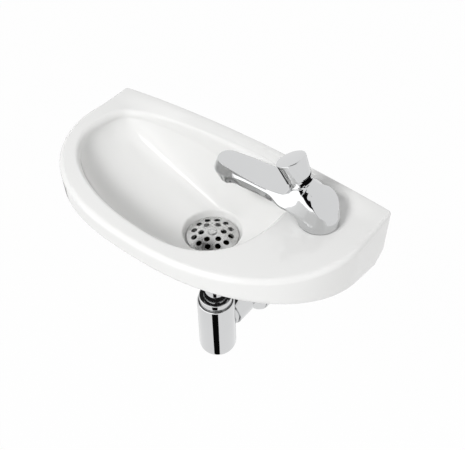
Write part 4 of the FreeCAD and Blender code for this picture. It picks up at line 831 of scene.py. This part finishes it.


# %% [markdown]
# Seven finishes cover the whole part: white glaze, chrome, satin steel for the grille, the screw and
# the bolts, two kinds of brass, black rubber and white nylon. The brass inside the waste is painted
# near black, as painted shade in the waste's hollow, which is what makes the grille's holes look dark.

# %% The finishes
glaze = finish("white_glaze", (0.86, 0.86, 0.85), (0.84, 0.84, 0.832), 6.0, (0.06, 0.11), 14.0,
               grain=(60.0, 0.0004, 0.05), IOR=1.5)
chrome = finish("polished_chrome", (0.66, 0.665, 0.67), (0.61, 0.615, 0.62), 12.0, (0.025, 0.07), 30.0,
                metallic=1.0, blur=0.9)
satin = finish("satin_steel", (0.70, 0.70, 0.695), (0.60, 0.60, 0.595), 60.0, (0.24, 0.38), 120.0,
               metallic=1.0)
brass = finish("turned_brass", (0.62, 0.46, 0.20), (0.50, 0.36, 0.15), 40.0, (0.22, 0.38), 80.0, metallic=1.0)
# Painted shade: near-black brass for the waste body, so the grille's holes read dark.
shaded_brass = finish("brass_painted_shade", (0.030, 0.024, 0.014), (0.055, 0.042, 0.024), 40.0, (0.45, 0.60), 80.0,
                 metallic=1.0)
rubber = finish("black_rubber", (0.022, 0.022, 0.023), (0.034, 0.034, 0.034), 90.0, (0.55, 0.75), 60.0,
                grain=(900.0, 0.0001, 0.3))
nylon = finish("white_nylon", (0.74, 0.74, 0.71), (0.68, 0.68, 0.65), 50.0, (0.38, 0.52), 70.0,
               grain=(700.0, 0.0001, 0.2))
finishes = [glaze, chrome, satin, brass, shaded_brass, rubber, nylon]
print("finishes:", [material.name for material in finishes])

# %% Give every piece and every CAD node its finish
slot_finish = {"ceramic": glaze, "chrome": chrome, "steel": satin, "brass": brass, "rubber": rubber,
               "plastic": nylon}
slot_of_node = {part["node"]: part["material_slot"] for part in frame["record"]["subparts"]}


def dress(piece, material):
    """Give a piece one material and no other."""
    piece.data.materials.clear()
    piece.data.materials.append(material)


for name, piece in frame["nodes"].items():
    dress(piece, slot_finish[slot_of_node[name]])
# Painted shade: the waste body takes the near-black brass, which darkens the grille's holes.
dress(frame["nodes"]["waste_body"], shaded_brass)
dress(basin, glaze)
dress(grille, satin)
dress(spring, satin)
for piece in [tap, button, collar, cup, *turned_pieces]:
    dress(piece, chrome)
print("dressed nodes:", len(frame["nodes"]))

# %% [markdown]
# ## Floor and light
# The studio is white. A soft key light stands in front and above, so the tap's shadow falls back on
# the raised rear edge, and a weaker one fills the right. The world is white for the camera and for
# reflections, and dimmer for the light that it sheds, so the ceramic keeps its soft shading. Chrome
# only looks like chrome when there is something dark to reflect. Dark cards, which only reflections
# see, do that, and a bright card in front gives the tap's flank its white. Three dark cards are
# painted shade instead: one under the basin, and two in the gap under the push button. The mirror
# image of a lamp would leave hard white dots on the tap's small radii, so both lamps are hidden from
# reflections, and a dimmer card stands in the key light's place.

# %% Floor
FLOOR_Z, FLOOR_HALF = -850.0, 4000.0
floor_plan = FLOOR_HALF * np.array([(-1, -1), (1, -1), (1, 1), (-1, 1)])
floor_mesh = mesh_from_faces("floor", ring_xyz(floor_plan, FLOOR_Z), np.array([[0, 1, 2, 3]]))
floor = bpy.data.objects.new("floor", floor_mesh)
bpy.context.scene.collection.objects.link(floor)


def direct_rays(tree):
    """A node that gives 1 to rays from the camera, from reflections and through glass, and 0 to the rest."""
    path = node(tree, "ShaderNodeLightPath")
    seen = node(tree, "ShaderNodeMath", operation="MAXIMUM")
    shown = node(tree, "ShaderNodeMath", operation="MAXIMUM")
    tree.links.new(path.outputs["Is Camera Ray"], seen.inputs[0])
    tree.links.new(path.outputs["Is Glossy Ray"], seen.inputs[1])
    tree.links.new(seen.outputs[0], shown.inputs[0])
    tree.links.new(path.outputs["Is Transmission Ray"], shown.inputs[1])
    return shown


def studio_white(tree, lit, white_share):
    """White to direct rays, and the lit surface to all others.
    A small share of the lit surface stays in the white, so the floor keeps the object's shadow."""
    share = node(tree, "ShaderNodeMath", {1: white_share}, operation="MULTIPLY")
    white = node(tree, "ShaderNodeEmission", {"Color": (1, 1, 1, 1), "Strength": 1.0})
    mix = node(tree, "ShaderNodeMixShader")
    tree.links.new(direct_rays(tree).outputs[0], share.inputs[0])
    tree.links.new(share.outputs[0], mix.inputs[0])
    tree.links.new(lit.outputs[0], mix.inputs[1])
    tree.links.new(white.outputs[0], mix.inputs[2])
    return mix


pale = bpy.data.materials.new("pale_floor")
pale.use_nodes = True
lit = pale.node_tree.nodes["Principled BSDF"]
lit.inputs["Base Color"].default_value = (0.8, 0.8, 0.8, 1)
lit.inputs["Roughness"].default_value = 0.9
mixed = studio_white(pale.node_tree, lit, 0.98)
pale.node_tree.links.new(mixed.outputs[0], pale.node_tree.nodes["Material Output"].inputs["Surface"])
dress(floor, pale)
print("floor at", FLOOR_Z, "mm")

# %% World
SKY_LIGHT = 0.48
world = bpy.data.worlds.new("studio")
world.use_nodes = True
bpy.context.scene.world = world
tree = world.node_tree
sky = tree.nodes["Background"]
sky.inputs["Color"].default_value = (1, 1, 1, 1)
level = node(tree, "ShaderNodeMapRange", {"To Min": SKY_LIGHT, "To Max": 1.0})
tree.links.new(direct_rays(tree).outputs[0], level.inputs["Value"])
tree.links.new(level.outputs["Result"], sky.inputs["Strength"])
print("world level for light:", SKY_LIGHT)


# %% Lamps
def soft_lamp(name, place, target, width, height, power):
    """A rectangular lamp that looks from its place to a target, in metres."""
    light = bpy.data.lights.new(name, "AREA")
    light.shape = "RECTANGLE"
    light.size, light.size_y, light.energy = width, height, power
    look = np.asarray(target, float) - np.asarray(place, float)
    look /= np.linalg.norm(look)
    right = np.cross(look, [0, 0, 1.0])
    right /= np.linalg.norm(right)
    return stand(light, right, np.cross(right, look), place)


key = soft_lamp("key_lamp", (-0.2, -1.47, 1.53), (0, -0.08, 0.05), 0.7, 0.4, 25.0)
fill = soft_lamp("fill_lamp", (1.6, -0.7, 0.1), (0.1, -0.08, 0.05), 1.2, 1.2, 8.0)
for lamp in (key, fill):
    lamp.visible_glossy = False
    print(lamp.name, lamp.data.energy, "W")


# %% Cards
def card(name, inner, outer, tone):
    """A sheet between two lines of points, for reflections only: the camera and the light pass through it."""
    count = len(inner)
    step = np.arange(count - 1)
    faces = np.stack([step, step + 1, step + 1 + count, step + count], axis=1)
    sheet = bpy.data.objects.new(name, mesh_from_faces(name, np.concatenate([inner, outer]), faces))
    bpy.context.scene.collection.objects.link(sheet)
    sheet.visible_camera = False
    sheet.visible_diffuse = False
    sheet.visible_shadow = False
    paper = bpy.data.materials.new(name)
    paper.use_nodes = True
    glow = node(paper.node_tree, "ShaderNodeEmission", {"Color": (tone, tone, tone, 1), "Strength": 1.0})
    paper.node_tree.links.new(glow.outputs[0], paper.node_tree.nodes["Material Output"].inputs["Surface"])
    dress(sheet, paper)
    print(name, "tone", tone)


def arc_line(centre, radius, first, last, z):
    """Points on a level arc about a centre, between two directions in degrees from the right to the wall."""
    turn = np.radians(np.linspace(first, last, 25))
    return ring_xyz(np.asarray(centre) + radius * np.stack([np.cos(turn), np.sin(turn)], axis=1), z)


def lean_arc(radius, height, first, last):
    """The same kind of arc about the button's axis, at a height along it."""
    place, directions = axis_frame(push_at, push_axis)
    turn = np.radians(np.linspace(first, last, 25) - 90)
    local = np.stack([radius * np.cos(turn), radius * np.sin(turn), height + 0 * turn], axis=1)
    return place + local @ directions


def bar(left, right, y, z):
    """The two ends of a level line that runs from left to right."""
    return np.array([(left, y, z), (right, y, z)], float)


# %% [markdown]
# A card is an arc about the waste, the tap or the button, or a plain rectangle. Its name says its tone
# and its place, or the lamp that it stands for. Their places suit the photograph's view.

# %% Dark, grey and white cards
BLACK = 0.004
to_camera = math.degrees(math.atan2(CAMERA_AT[1] - WASTE[1], CAMERA_AT[0] - WASTE[0]))
stripe = to_camera - 28, to_camera + 8, FLOOR_Z + 5
room = TAP_AT[:2], 600, -72, -22
shade = (138, -79), 120, -124, -20
front = TAP_AT[:2], 1500, -150, -73
card("dark_floor", arc_line(WASTE, 90, *stripe), arc_line(WASTE, 800, *stripe), BLACK)
card("dark_room", arc_line(*room, 110), arc_line(*room, 850), BLACK)
card("dark_shade", arc_line(*shade, 176), arc_line(*shade, 300), BLACK)
# Painted shade: two black rings in the gap under the push button, seen only in reflections.
card("painted_shade_gap", lean_arc(12.6, 6.3, 0, 360), lean_arc(14.2, 6.3, 0, 360), BLACK)
card("painted_shade_ring", lean_arc(16.5, 1, -30, 75), lean_arc(16.5, 5.5, -30, 75), BLACK)
# Painted shade: a near-black ring under the basin stands in for its unlit underside in the trap's
# reflections.
card("painted_shade_underside", arc_line(WASTE, 46, 0, 360, -40), arc_line(WASTE, 125, 0, 360, -40), 0.02)
card("dark_ceiling", bar(-1200, 400, -450, 1500), bar(-1200, 400, 350, 1500), 0.05)
card("key_card", bar(-550, 150, -1616, 1393), bar(-550, 150, -1324, 1667), 5.0)
card("grey_behind", bar(-1800, -150, 150, FLOOR_Z + 6), bar(-1800, -150, 1800, FLOOR_Z + 6), 0.3)
card("white_front", arc_line(*front, -600), arc_line(*front, 800), 1.7)

# %% [markdown]
# ## Colour
# The Standard view keeps a colour as it is written.

# %% View transform and the end
bpy.context.scene.view_settings.view_transform = "Standard"
